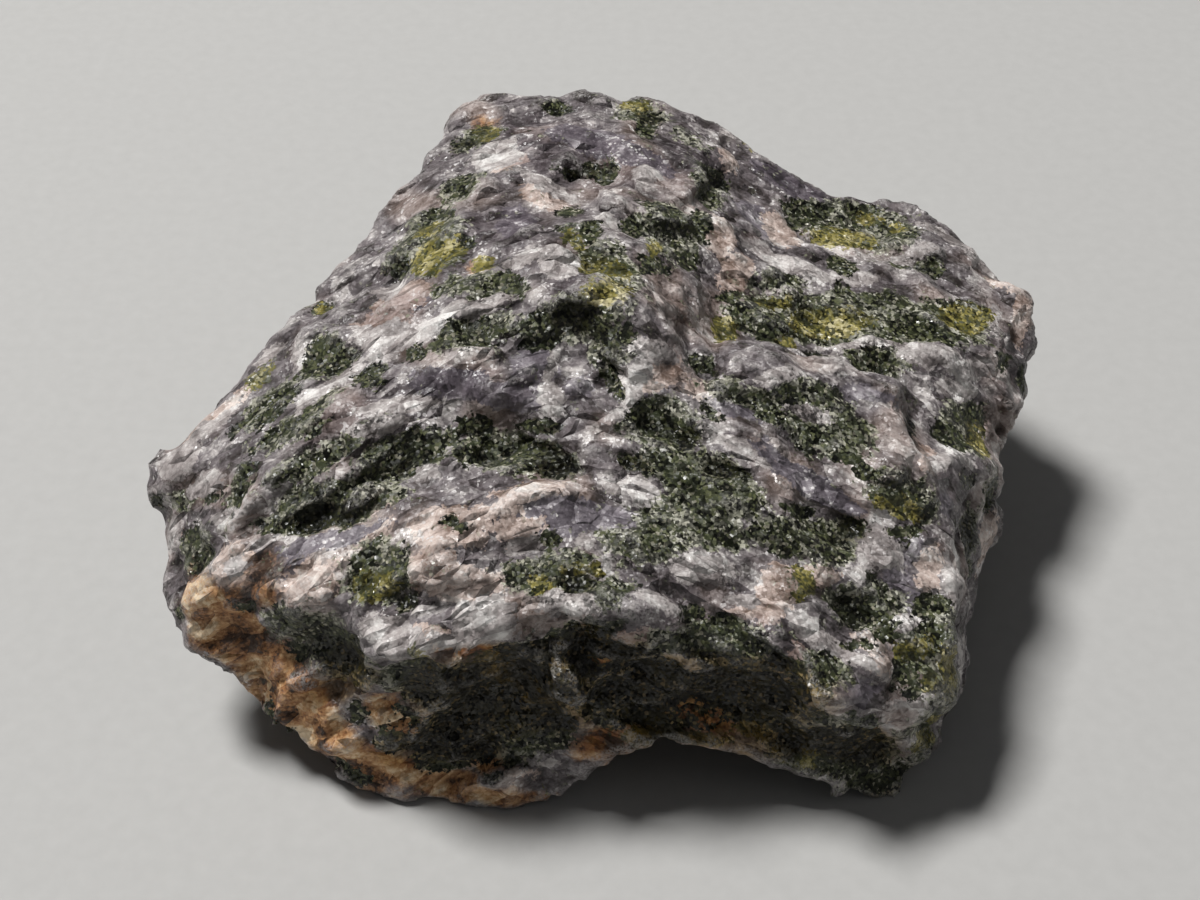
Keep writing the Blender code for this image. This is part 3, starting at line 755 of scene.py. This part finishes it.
def stand_out():
    """How far each point stands out from its smoothed neighbourhood, in millimetres."""
    smooth = carved
    for _ in range(SMOOTHINGS):
        smooth = averaged(smooth)
    return ((carved - smooth) * normals).sum(axis=1)


stands_out = stand_out()
print("points stand out by", np.percentile(stands_out, (0.1, 5, 50, 95, 99.9)).round(3), "mm")

# %% [markdown]
# ## No splinters
#
# Where a ridge of the solid meets a crest of the pattern, the skin can shoot up
# into a needle that no rock would keep. The same measure finds such points.
# They are averaged with their neighbours a few times, which wears them down,
# and all other points stay where they are.

# %% Break off the splinters
SPLINTER_HEIGHT = 0.32
BREAKINGS = 12

splinters = (np.abs(stands_out) > SPLINTER_HEIGHT) & (carved[:, 2] > REST_FADE)
for _ in range(BREAKINGS):
    carved[splinters] = averaged(carved)[splinters]
stands_out = stand_out()
skin.vertices.foreach_set("co", (carved * MM).ravel())
skin.update()
print("splinter points broken off:", int(splinters.sum()))

# %% [markdown]
# ## What the material gets to read
#
# How deep each point lies in each mineral, and how far it stands out, are kept
# on the skin as attributes, one number a point. Two slow noises join them:
# clouds make the feldspar lighter and darker in blotches, and a blush turns
# parts of it from grey to flesh. Worked out once here, they cost the render
# almost nothing.

# %% Keep the measures on the skin
PAINTED = [name for name in inside if name != "filled"]
CLOUD_SIZE = 1.9
BLUSH_SIZE = 5.0


def keep(name, values):
    """Stores one number a point on the skin, for the material to read."""
    skin.attributes.new(name, "FLOAT", "POINT").data.foreach_set("value", values.astype(np.float32))


for name in PAINTED:
    keep(name, inside[name])
keep("edge", stands_out)
keep("cloud", np.array([noise.fractal(Vector(row) / CLOUD_SIZE, 0.6, 2.1, 4) for row in loose]))
keep("blush", np.array([noise.fractal(Vector(row) / BLUSH_SIZE, 1.0, 2.0, 2) for row in points]))
skin.shade_smooth()
print("attributes:", [kept.name for kept in skin.attributes])

# %% [markdown]
# ## Small helpers for materials
#
# A material is a tree of nodes. These helpers add a node with its settings,
# and set or join its inputs, so that each recipe below reads as one sentence.

# %% Node helpers
def add(tree, kind, values=(), **settings):
    """A new node with its settings, and its inputs set to numbers or joined to other nodes' outputs."""
    node = tree.nodes.new("ShaderNode" + kind)
    for name, value in settings.items():
        setattr(node, name, value)
    for name, value in dict(values).items():
        if isinstance(value, bpy.types.NodeSocket):
            tree.links.new(value, node.inputs[name])
        else:
            node.inputs[name].default_value = value
    return node


def reckon(tree, operation, *values, clamp=False):
    """The result of one Math node."""
    return add(tree, "Math", enumerate(values), operation=operation, use_clamp=clamp).outputs[0]


def vector_sum(tree, operation, *values):
    """The vector that one Vector Math node gives."""
    return add(tree, "VectorMath", enumerate(values), operation=operation).outputs["Vector"]


def blend(tree, share, first, second, way="MIX"):
    """Two colours mixed by a share."""
    node = add(tree, "Mix", {0: share, 6: first, 7: second}, data_type="RGBA", blend_type=way)
    return node.outputs[2]


def spread(tree, value, low, high, least=0.0, most=1.0, way="SMOOTHSTEP"):
    """A value stretched from one range to another."""
    numbers_in = {"Value": value, "From Min": low, "From Max": high, "To Min": least, "To Max": most}
    return add(tree, "MapRange", numbers_in, interpolation_type=way).outputs["Result"]


def rgb(red, green, blue):
    """A plain colour."""
    return (red, green, blue, 1.0)


# %% [markdown]
# ## Grains
#
# Both the feldspar and the clots are made of grains, only of other sizes. One
# node group serves them all: a Voronoi cell is a grain, its random colour gives
# the grain two numbers of its own, and it breaks as one tilted face or as a
# many-sided one. The group is built once and placed with a size for each use.

# %% The grain group
SUNKEN_FACES = 0.4


def socket(group, name, way, kind):
    """A named socket on a node group."""
    return group.interface.new_socket(name, in_out=way, socket_type=kind)


def grain_group():
    """Grains of a given size in millimetres: two shades and the heights of two kinds of face."""
    group = bpy.data.node_groups.new("mineral_grains", "ShaderNodeTree")
    socket(group, "Place", "INPUT", "NodeSocketVector")
    socket(group, "Size", "INPUT", "NodeSocketFloat")
    for name in ("Shade", "Second", "Facet", "Crystal"):
        socket(group, name, "OUTPUT", "NodeSocketFloat")
    given = group.nodes.new("NodeGroupInput")
    result = group.nodes.new("NodeGroupOutput")
    scaled = add(group, "VectorMath", {0: given.outputs["Place"]}, operation="SCALE")
    group.links.new(reckon(group, "DIVIDE", 1.0, given.outputs["Size"]), scaled.inputs["Scale"])
    place = scaled.outputs["Vector"]
    cells = add(group, "TexVoronoi", {"Vector": place, "Scale": 1.0}, feature="F1")
    rim = add(group, "TexVoronoi", {"Vector": place, "Scale": 1.0}, feature="DISTANCE_TO_EDGE")
    lean = vector_sum(group, "SUBTRACT", cells.outputs["Color"], (0.5, 0.5, 0.5))
    offset = vector_sum(group, "SUBTRACT", place, cells.outputs["Position"])
    tilt = add(group, "VectorMath", {0: lean, 1: offset}, operation="DOT_PRODUCT").outputs["Value"]
    shades = add(group, "SeparateColor", {"Color": cells.outputs["Color"]})
    group.links.new(shades.outputs["Red"], result.inputs["Shade"])
    group.links.new(shades.outputs["Green"], result.inputs["Second"])
    group.links.new(reckon(group, "MULTIPLY", tilt, given.outputs["Size"]), result.inputs["Facet"])
    rise = reckon(group, "SUBTRACT", shades.outputs["Blue"], SUNKEN_FACES)
    raised = reckon(group, "MULTIPLY", rise, rim.outputs["Distance"])
    group.links.new(reckon(group, "MULTIPLY", raised, given.outputs["Size"]), result.inputs["Crystal"])
    return group


GRAINS = grain_group()
print("grain group:", len(GRAINS.nodes), "nodes")

# %% [markdown]
# ## The stone's material
#
# Every mineral is mixed in the same way. One shade from dark to light is worked
# out for each place, from its grains, the clouds and fine streaks, and each
# mineral has a row of tones of its own that turns this shade into colours. So
# neighbouring minerals share their grain, as in the real rock, and differ in
# hue. Feldspar comes first as the ground, and the others are laid over it.

# %% Start the material
stone_paint = bpy.data.materials.new("gabbro")
stone_paint.use_nodes = True
recipe = stone_paint.node_tree
shader = recipe.nodes["Principled BSDF"]


def node(kind, values=(), **settings):
    """A node in the stone's material."""
    return add(recipe, kind, values, **settings)


def calc(operation, *values, clamp=False):
    """A Math node in the stone's material."""
    return reckon(recipe, operation, *values, clamp=clamp)


def mix(share, first, second, way="MIX"):
    """Two colours mixed in the stone's material."""
    return blend(recipe, share, first, second, way)


def ramp(value, low, high, least=0.0, most=1.0, way="SMOOTHSTEP"):
    """A value stretched in the stone's material."""
    return spread(recipe, value, low, high, least, most, way)


def measure(name):
    """One of the numbers kept on the skin."""
    return node("Attribute", attribute_name=name, attribute_type="GEOMETRY").outputs["Fac"]


def grains(place, size):
    """The grain group at one size."""
    group = recipe.nodes.new("ShaderNodeGroup")
    group.node_tree = GRAINS
    recipe.links.new(place, group.inputs["Place"])
    group.inputs["Size"].default_value = size
    return group.outputs


def cloud(place, size, detail, roughness=0.6):
    """A noise whose blotches are about size millimetres wide, from 0 to 1."""
    values = {"Vector": place, "Scale": 1 / size, "Detail": detail, "Roughness": roughness}
    return node("TexNoise", values).outputs["Fac"]


print("material started:", stone_paint.name)

# %% [markdown]
# ### The spaces that patterns read
#
# Fine grains look the same in all directions, so they read the object's own
# coordinates in millimetres. Crystals and streaks follow the bands, so they
# read the space where the bands lie level, squeezed along x. The nodes repeat
# the formula that moved the points there.

# %% The spaces that patterns read
CRYSTAL_SQUEEZE = 0.6
STREAK_SQUEEZE = 0.15

in_mm = vector_sum(recipe, "MULTIPLY", node("TexCoord").outputs["Object"], (1 / MM,) * 3)
apart = node("SeparateXYZ", {"Vector": in_mm}).outputs
from_top = calc("SUBTRACT", apart["X"], BAND_TOP)
climb = calc("SQRT", calc("ADD", calc("MULTIPLY", from_top, from_top), BAND_BEND**2))
rises = {axis: calc("MULTIPLY", climb, float(BAND_RISE["XYZ".index(axis)])) for axis in "YZ"}
level = vector_sum(recipe, "ADD", in_mm, node("CombineXYZ", rises).outputs["Vector"])
drawn_out = vector_sum(recipe, "MULTIPLY", level, (CRYSTAL_SQUEEZE, 1.0, 1.0))
streaked = vector_sum(recipe, "MULTIPLY", level, (STREAK_SQUEEZE, 1.0, 1.0))
print("bands in the material rise by", BAND_RISE[1:])

# %% [markdown]
# ### Grains and their shade
#
# Three sizes of grain are nested: fine crumbs, small grains and the large faces
# of crystals. Each adds its share to the shade, so light and dark change at
# every scale, as they do in broken feldspar.

# %% Grains and their shade
FINE_GRAIN = 0.19
SMALL_GRAIN = 0.42
LARGE_GRAIN = 1.05

fine = grains(in_mm, FINE_GRAIN)
small = grains(level, SMALL_GRAIN)
large = grains(drawn_out, LARGE_GRAIN)
speckle = cloud(in_mm, 0.16, 2.0, 0.7)
streaks = cloud(streaked, 0.28, 2.0)
blush = measure("blush")

clouded = ramp(measure("cloud"), -0.7, 0.7, 0.0, 0.44, "LINEAR")
shade = calc("MULTIPLY_ADD", large["Shade"], 0.32, clouded)
shade = calc("MULTIPLY_ADD", small["Second"], 0.12, shade)
shade = calc("MULTIPLY_ADD", fine["Shade"], 0.14, shade)
shade = calc("MULTIPLY_ADD", calc("SUBTRACT", streaks, 0.5), 0.38, shade)
print("grains of", FINE_GRAIN, SMALL_GRAIN, LARGE_GRAIN, "mm")

# %% [markdown]
# ### Rows of tones
#
# A colour ramp holds a mineral's tones, from its darkest grains to its glints.
# Dusky is the lilac-grey ground and glassy its clear grains. Fleshy feldspar is
# pinkish and milky feldspar white. Rusty tones make the stain, and honey ones
# the olive grains.

# %% Rows of tones
def tones(value, *steps):
    """A colour picked from a row of tones by a value from 0 to 1."""
    row = node("ValToRGB", {"Fac": value})
    marks = row.color_ramp.elements
    marks[0].position, marks[0].color = steps[0]
    marks[1].position, marks[1].color = steps[-1]
    for position, tone in steps[1:-1]:
        marks.new(position).color = tone
    return row.outputs["Color"]


DUSKY = (
    (0.20, rgb(0.035, 0.028, 0.026)), (0.37, rgb(0.095, 0.080, 0.082)), (0.52, rgb(0.175, 0.152, 0.160)),
    (0.68, rgb(0.30, 0.272, 0.272)), (0.84, rgb(0.66, 0.62, 0.60)),
)
GLASSY = (
    (0.20, rgb(0.085, 0.072, 0.085)), (0.50, rgb(0.195, 0.172, 0.195)), (0.70, rgb(0.32, 0.29, 0.315)),
    (0.88, rgb(0.66, 0.63, 0.65)),
)
RUSTY = (
    (0.28, rgb(0.06, 0.026, 0.010)), (0.43, rgb(0.38, 0.165, 0.050)), (0.60, rgb(0.66, 0.37, 0.15)),
    (0.80, rgb(0.95, 0.72, 0.44)),
)
HONEY = (
    (0.24, rgb(0.045, 0.046, 0.016)), (0.44, rgb(0.17, 0.155, 0.040)), (0.62, rgb(0.33, 0.285, 0.080)),
    (0.86, rgb(0.70, 0.64, 0.38)),
)
MILKY = (
    (0.22, rgb(0.19, 0.165, 0.16)), (0.44, rgb(0.40, 0.36, 0.35)), (0.64, rgb(0.64, 0.60, 0.58)),
    (0.86, rgb(0.94, 0.92, 0.89)),
)
FLESHY = (
    (0.20, rgb(0.20, 0.135, 0.105)), (0.42, rgb(0.48, 0.375, 0.33)), (0.62, rgb(0.74, 0.62, 0.56)),
    (0.82, rgb(0.94, 0.87, 0.81)),
)
feldspar = tones(shade, *DUSKY)
feldspar = mix(ramp(blush, 0.0, 0.6, 0.0, 0.5), feldspar, tones(shade, *FLESHY))
print("feldspar ground:", len(recipe.nodes), "nodes")

# %% [markdown]
# ### How minerals meet
#
# Minerals don't blend into each other: each grain belongs to one of them. The
# deeper inside a blob, the more of the grains do. So every grain draws a lot,
# a random number that it partly shares with its cluster, and turns into the
# mineral if the lot is below the mineral's share at that place. A second lot
# keeps two minerals from always choosing the same grains.

# %% How minerals meet
WANDERING = 1.2

wander = calc("SUBTRACT", cloud(in_mm, 0.55, 3.0, 0.7), 0.5)


def grain_share(name, least_depth, most_depth, most=1.0):
    """What share of the grains are of a mineral, from none at the least depth inside its blobs."""
    rough = calc("MULTIPLY_ADD", wander, WANDERING, measure(name))
    return ramp(rough, least_depth, most_depth, 0.0, most, "LINEAR")


def chosen(share, pick):
    """The grains whose random number is below the share."""
    return ramp(calc("SUBTRACT", share, pick), -0.05, 0.05)


def lots(first, second):
    """A random number for each grain, partly shared by the grains of a cluster."""
    lot = calc("MULTIPLY_ADD", large[first], 0.32, calc("MULTIPLY", fine[second], 0.25))
    return calc("MULTIPLY_ADD", small[second], 0.43, lot)


pick = lots("Shade", "Second")
pick_again = lots("Second", "Shade")

print("minerals meet grain by grain:", len(recipe.nodes), "nodes")

# %% [markdown]
# ### Feldspar of other hues
#
# Clear lilac and peach grains replace some of the ground's grains. The toned-down parts are darkened,
# and a few fine grains where the clouds are bright are painted pale as glints, a painted highlight.

# %% Feldspar of other hues
TONED_DOWN_TINT = rgb(0.66, 0.63, 0.65)
# A painted highlight: the pale colour of painted glints.
PAINTED_GLINT = rgb(0.85, 0.82, 0.81)

colour = mix(chosen(grain_share("lilac", -0.4, 0.4, 0.9), pick_again), feldspar, tones(shade, *GLASSY))
colour = mix(chosen(grain_share("peach", -0.4, 0.4, 0.95), pick), colour, tones(shade, *FLESHY))
milky = chosen(grain_share("white", -0.35, 0.25, 0.97), pick_again)
colour = mix(ramp(measure("toned_down"), -0.5, 0.8), colour, TONED_DOWN_TINT, "MULTIPLY")
# Painted highlight: a few fine grains where the clouds are bright are mixed towards the glint colour.
bright_clouds = ramp(measure("cloud"), -0.1, 0.6, 0.0, 0.8)
painted_glints = calc("MULTIPLY", ramp(fine["Shade"], 0.84, 0.94), bright_clouds)
colour = mix(painted_glints, colour, PAINTED_GLINT)
print("feldspar mixed:", len(recipe.nodes), "nodes")

# %% [markdown]
# ### Colours of the other minerals
#
# Pyroxene is bottle green, almost black, with a few olive and pale flecks where
# it has split. Moss is the paler green of its crumbs in the granular mix. The
# olive grains keep some dark crumbs among their honey tones.

# %% Colours of the other minerals
PYROXENE_BLACK = rgb(0.010, 0.0115, 0.0065)
PYROXENE_GREEN = rgb(0.046, 0.054, 0.026)
OLIVE_FLECK = rgb(0.12, 0.13, 0.062)
PALE_FLECK = rgb(0.42, 0.40, 0.30)
MOSS_DARK = rgb(0.085, 0.092, 0.060)
MOSS_PALE = rgb(0.47, 0.47, 0.36)
HONEY_CRUMB = rgb(0.05, 0.058, 0.026)

bottle = mix(ramp(small["Shade"], 0.1, 0.9), PYROXENE_BLACK, PYROXENE_GREEN)
bottle = mix(ramp(fine["Shade"], 0.62, 0.86, 0.0, 0.85), bottle, OLIVE_FLECK)
bottle = mix(ramp(fine["Second"], 0.90, 0.96, 0.0, 0.85), bottle, PALE_FLECK)
moss = mix(ramp(fine["Shade"], 0.1, 0.9), MOSS_DARK, MOSS_PALE)
honey = tones(shade, *HONEY)
honey = mix(ramp(fine["Second"], 0.62, 0.80, 0.0, 0.85), honey, HONEY_CRUMB)
rusty = tones(shade, *RUSTY)
print("dark minerals mixed:", len(recipe.nodes), "nodes")

# %% [markdown]
# ### Laying the minerals over each other
#
# The order goes up from the ground: mossy crumbs of the granular mix, the rust
# stain, single dark grains, milk-white feldspar, black clots and olive grains.
# A few mossy and dark grains also stray over all the feldspar. Last, painted shade darkens the pits, and
# turns the undercut front darker and browner.

# %% Lay the minerals over each other
STRAY_MOSS = 0.12
STRAY_DARK = 0.06
# Tints for painted shade in the pits and on the undercut front.
PIT_SHADE_TINT = rgb(0.45, 0.43, 0.36)
FRONT_SHADE_TINT = rgb(0.66, 0.50, 0.29)

stain = ramp(calc("MULTIPLY_ADD", wander, 1.8, measure("rust")), -0.7, 0.5)
mix_share = calc("MULTIPLY", grain_share("granular", -0.7, 0.7), ramp(measure("white"), 0.4, -0.2))
mossy = chosen(calc("MAXIMUM", mix_share, STRAY_MOSS), pick)
dark_grains = chosen(calc("MULTIPLY_ADD", mix_share, 0.5, STRAY_DARK), pick)
clots = chosen(grain_share("clot", -0.45, 0.35, 0.95), pick_again)
olive = chosen(grain_share("yellow", -0.4, 0.35, 0.92), pick_again)
deep = ramp(calc("MULTIPLY_ADD", wander, 1.0, measure("pit")), -0.5, 0.4)

colour = mix(calc("MULTIPLY", mossy, 0.8), colour, moss)
colour = mix(calc("MULTIPLY", stain, 0.85), colour, rusty)
colour = mix(dark_grains, colour, bottle)
colour = mix(milky, colour, tones(shade, *MILKY))
colour = mix(clots, colour, bottle)
colour = mix(olive, colour, honey)
# Painted shade: the pits and the undercut front are multiplied darker.
colour = mix(deep, colour, PIT_SHADE_TINT, "MULTIPLY")
colour = mix(ramp(measure("painted_front_shade"), -0.5, 0.7), colour, FRONT_SHADE_TINT, "MULTIPLY")
print("minerals laid over each other:", len(recipe.nodes), "nodes")

# %% [markdown]
# ### Bruised edges, and dust and painted shade in hollows
#
# Edges that stand out are paler, in crumbs and not as a clean line, so the measure is broken up by the
# speckle. Hollows are darker, from dust and from painted shade for the light that they keep out.

# %% Bruised edges, and dust and painted shade in hollows
BRUISE = rgb(0.70, 0.67, 0.65)
DUST_AND_SHADE = rgb(0.03, 0.028, 0.024)

edge = measure("edge")
bruised = calc("MULTIPLY", ramp(edge, 0.05, 0.25), ramp(speckle, 0.35, 0.6))
# Partly dust and partly painted shade: hollows are multiplied darker.
sunken = ramp(calc("MULTIPLY", edge, -1.0), 0.04, 0.3, 0.0, 0.6)
colour = mix(calc("MULTIPLY", bruised, 0.35), colour, BRUISE)
colour = mix(sunken, colour, DUST_AND_SHADE, "MULTIPLY")
print("edges and hollows:", len(recipe.nodes), "nodes")

# %% [markdown]
# ### Fine relief
#
# Faces too small for the skin's triangles are left to a bump: crystal faces on
# feldspar, lower on its white ribs, and small tilted grains where the rock
# crumbles. The height is in millimetres, and the size of the grains sets it.

# %% Fine relief
CRYSTAL_STEP = 2.2
SMALL_STEP = 0.35
FINE_STEP = 0.45

crumbly = ramp(calc("MAXIMUM", measure("clot"), measure("granular")), -0.3, 0.3)
rib = ramp(measure("white"), -0.2, 0.4)
crystal_step = calc("MULTIPLY_ADD", rib, -0.3, calc("MULTIPLY_ADD", crumbly, -1.0, CRYSTAL_STEP))
small_step = calc("MULTIPLY_ADD", crumbly, 0.7, SMALL_STEP)
fine_step = calc("MULTIPLY_ADD", crumbly, 0.9, FINE_STEP)
relief = calc("MULTIPLY", large["Crystal"], crystal_step)
relief = calc("MULTIPLY_ADD", small["Facet"], small_step, relief)
relief = calc("MULTIPLY_ADD", fine["Facet"], fine_step, relief)
bump = node("Bump", {"Strength": 1.0, "Distance": MM, "Height": relief})
print("relief steps:", CRYSTAL_STEP, SMALL_STEP, FINE_STEP)

# %% [markdown]
# ### Gloss
#
# Broken feldspar and pyroxene are waxy to glassy, and each grain a little
# differently, so some faces glint while their neighbours stay dull. Rust is
# dull all over. Dry stone reflects less than a polished one, so the shader's
# specular level is set below its default.

# %% Gloss
LEAST_ROUGH = 0.22

gloss = calc("MULTIPLY_ADD", fine["Second"], 0.22, LEAST_ROUGH)
gloss = calc("MULTIPLY_ADD", large["Second"], 0.25, gloss)
gloss = calc("MULTIPLY_ADD", stain, 0.25, gloss, clamp=True)
recipe.links.new(colour, shader.inputs["Base Color"])
recipe.links.new(gloss, shader.inputs["Roughness"])
recipe.links.new(bump.outputs["Normal"], shader.inputs["Normal"])
shader.inputs["IOR"].default_value = 1.55
shader.inputs["Specular IOR Level"].default_value = 0.4
print("stone material:", len(recipe.nodes), "nodes")

# %% [markdown]
# ## The finished stone
#
# The skin becomes one piece. It stands for the CAD solid, which stays in the simulation for collision,
# and it rides on the one body of this jointless model. Its finish is its one material, which the solid
# is given too.

# %% Make the stone a piece
stone = bpy.data.objects.new("stone", skin)
bpy.context.scene.collection.objects.link(stone)
skin.materials.clear()
skin.materials.append(stone_paint)
solid.data.materials.clear()
solid.data.materials.append(stone_paint)
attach(stone, "root")
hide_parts("gabbro_stone")
print("piece:", stone.name, "with", len(skin.polygons), "faces")

# %% [markdown]
# ## Floor and light
#
# The floor is a plain pale sheet of paper, with a faint fibre in it. A wide
# lamp behind the stone's upper left lights its top and leaves the undercut
# front in shade, a weak one on the right softens the shadow, and a pale
# surrounding fills the rest.

# %% Lay the floor
FLOOR_HALF = 0.9
FIBRES_PER_METRE = 900.0
PAPER_DARK = rgb(0.46, 0.46, 0.45)
PAPER_PALE = rgb(0.52, 0.52, 0.51)

sheet = bmesh.new()
bmesh.ops.create_grid(sheet, x_segments=8, y_segments=8, size=FLOOR_HALF)
floor_mesh = bpy.data.meshes.new("floor")
sheet.to_mesh(floor_mesh)
sheet.free()
floor = bpy.data.objects.new("floor", floor_mesh)
bpy.context.scene.collection.objects.link(floor)

paper = bpy.data.materials.new("paper")
paper.use_nodes = True
sheet_nodes = paper.node_tree
place = add(sheet_nodes, "TexCoord").outputs["Object"]
fibres = add(sheet_nodes, "TexNoise", {"Vector": place, "Scale": FIBRES_PER_METRE, "Detail": 4.0})
paper_tone = blend(sheet_nodes, fibres.outputs["Fac"], PAPER_DARK, PAPER_PALE)
paper_shader = sheet_nodes.nodes["Principled BSDF"]
sheet_nodes.links.new(paper_tone, paper_shader.inputs["Base Color"])
paper_shader.inputs["Roughness"].default_value = 0.85
floor_mesh.materials.append(paper)
print("floor:", 2 * FLOOR_HALF, "m wide")

# %% Set the lamps
KEY_WATTS = 17.0
FILL_WATTS = 0.10
SURROUND_STRENGTH = 0.06


def soft_lamp(name, toward, distance, width, power, tint):
    """A square lamp in a direction from the stone, facing it."""
    lamp = bpy.data.objects.new(name, bpy.data.lights.new(name, "AREA"))
    lamp.data.size = width
    lamp.data.energy = power
    lamp.data.color = tint
    direction = Vector(toward).normalized()
    lamp.location = TARGET + direction * distance
    lamp.rotation_euler = direction.to_track_quat("Z", "Y").to_euler()
    bpy.context.scene.collection.objects.link(lamp)


soft_lamp("key_lamp", (-0.38, 0.22, 0.88), 1.2, 0.30, KEY_WATTS, (1.0, 0.985, 0.97))
soft_lamp("fill_lamp", (0.9, -0.3, 0.8), 0.7, 0.4, FILL_WATTS, (1.0, 0.98, 0.95))
world = bpy.data.worlds.new("surrounding")
world.use_nodes = True
surround = world.node_tree.nodes["Background"]
surround.inputs["Color"].default_value = rgb(0.95, 0.96, 1.0)
surround.inputs["Strength"].default_value = SURROUND_STRENGTH
bpy.context.scene.world = world
bpy.context.scene.view_settings.view_transform = "Standard"
print("lamps:", KEY_WATTS, "W and", FILL_WATTS, "W")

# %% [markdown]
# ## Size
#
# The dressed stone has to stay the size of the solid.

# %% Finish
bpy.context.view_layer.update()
squares.free()
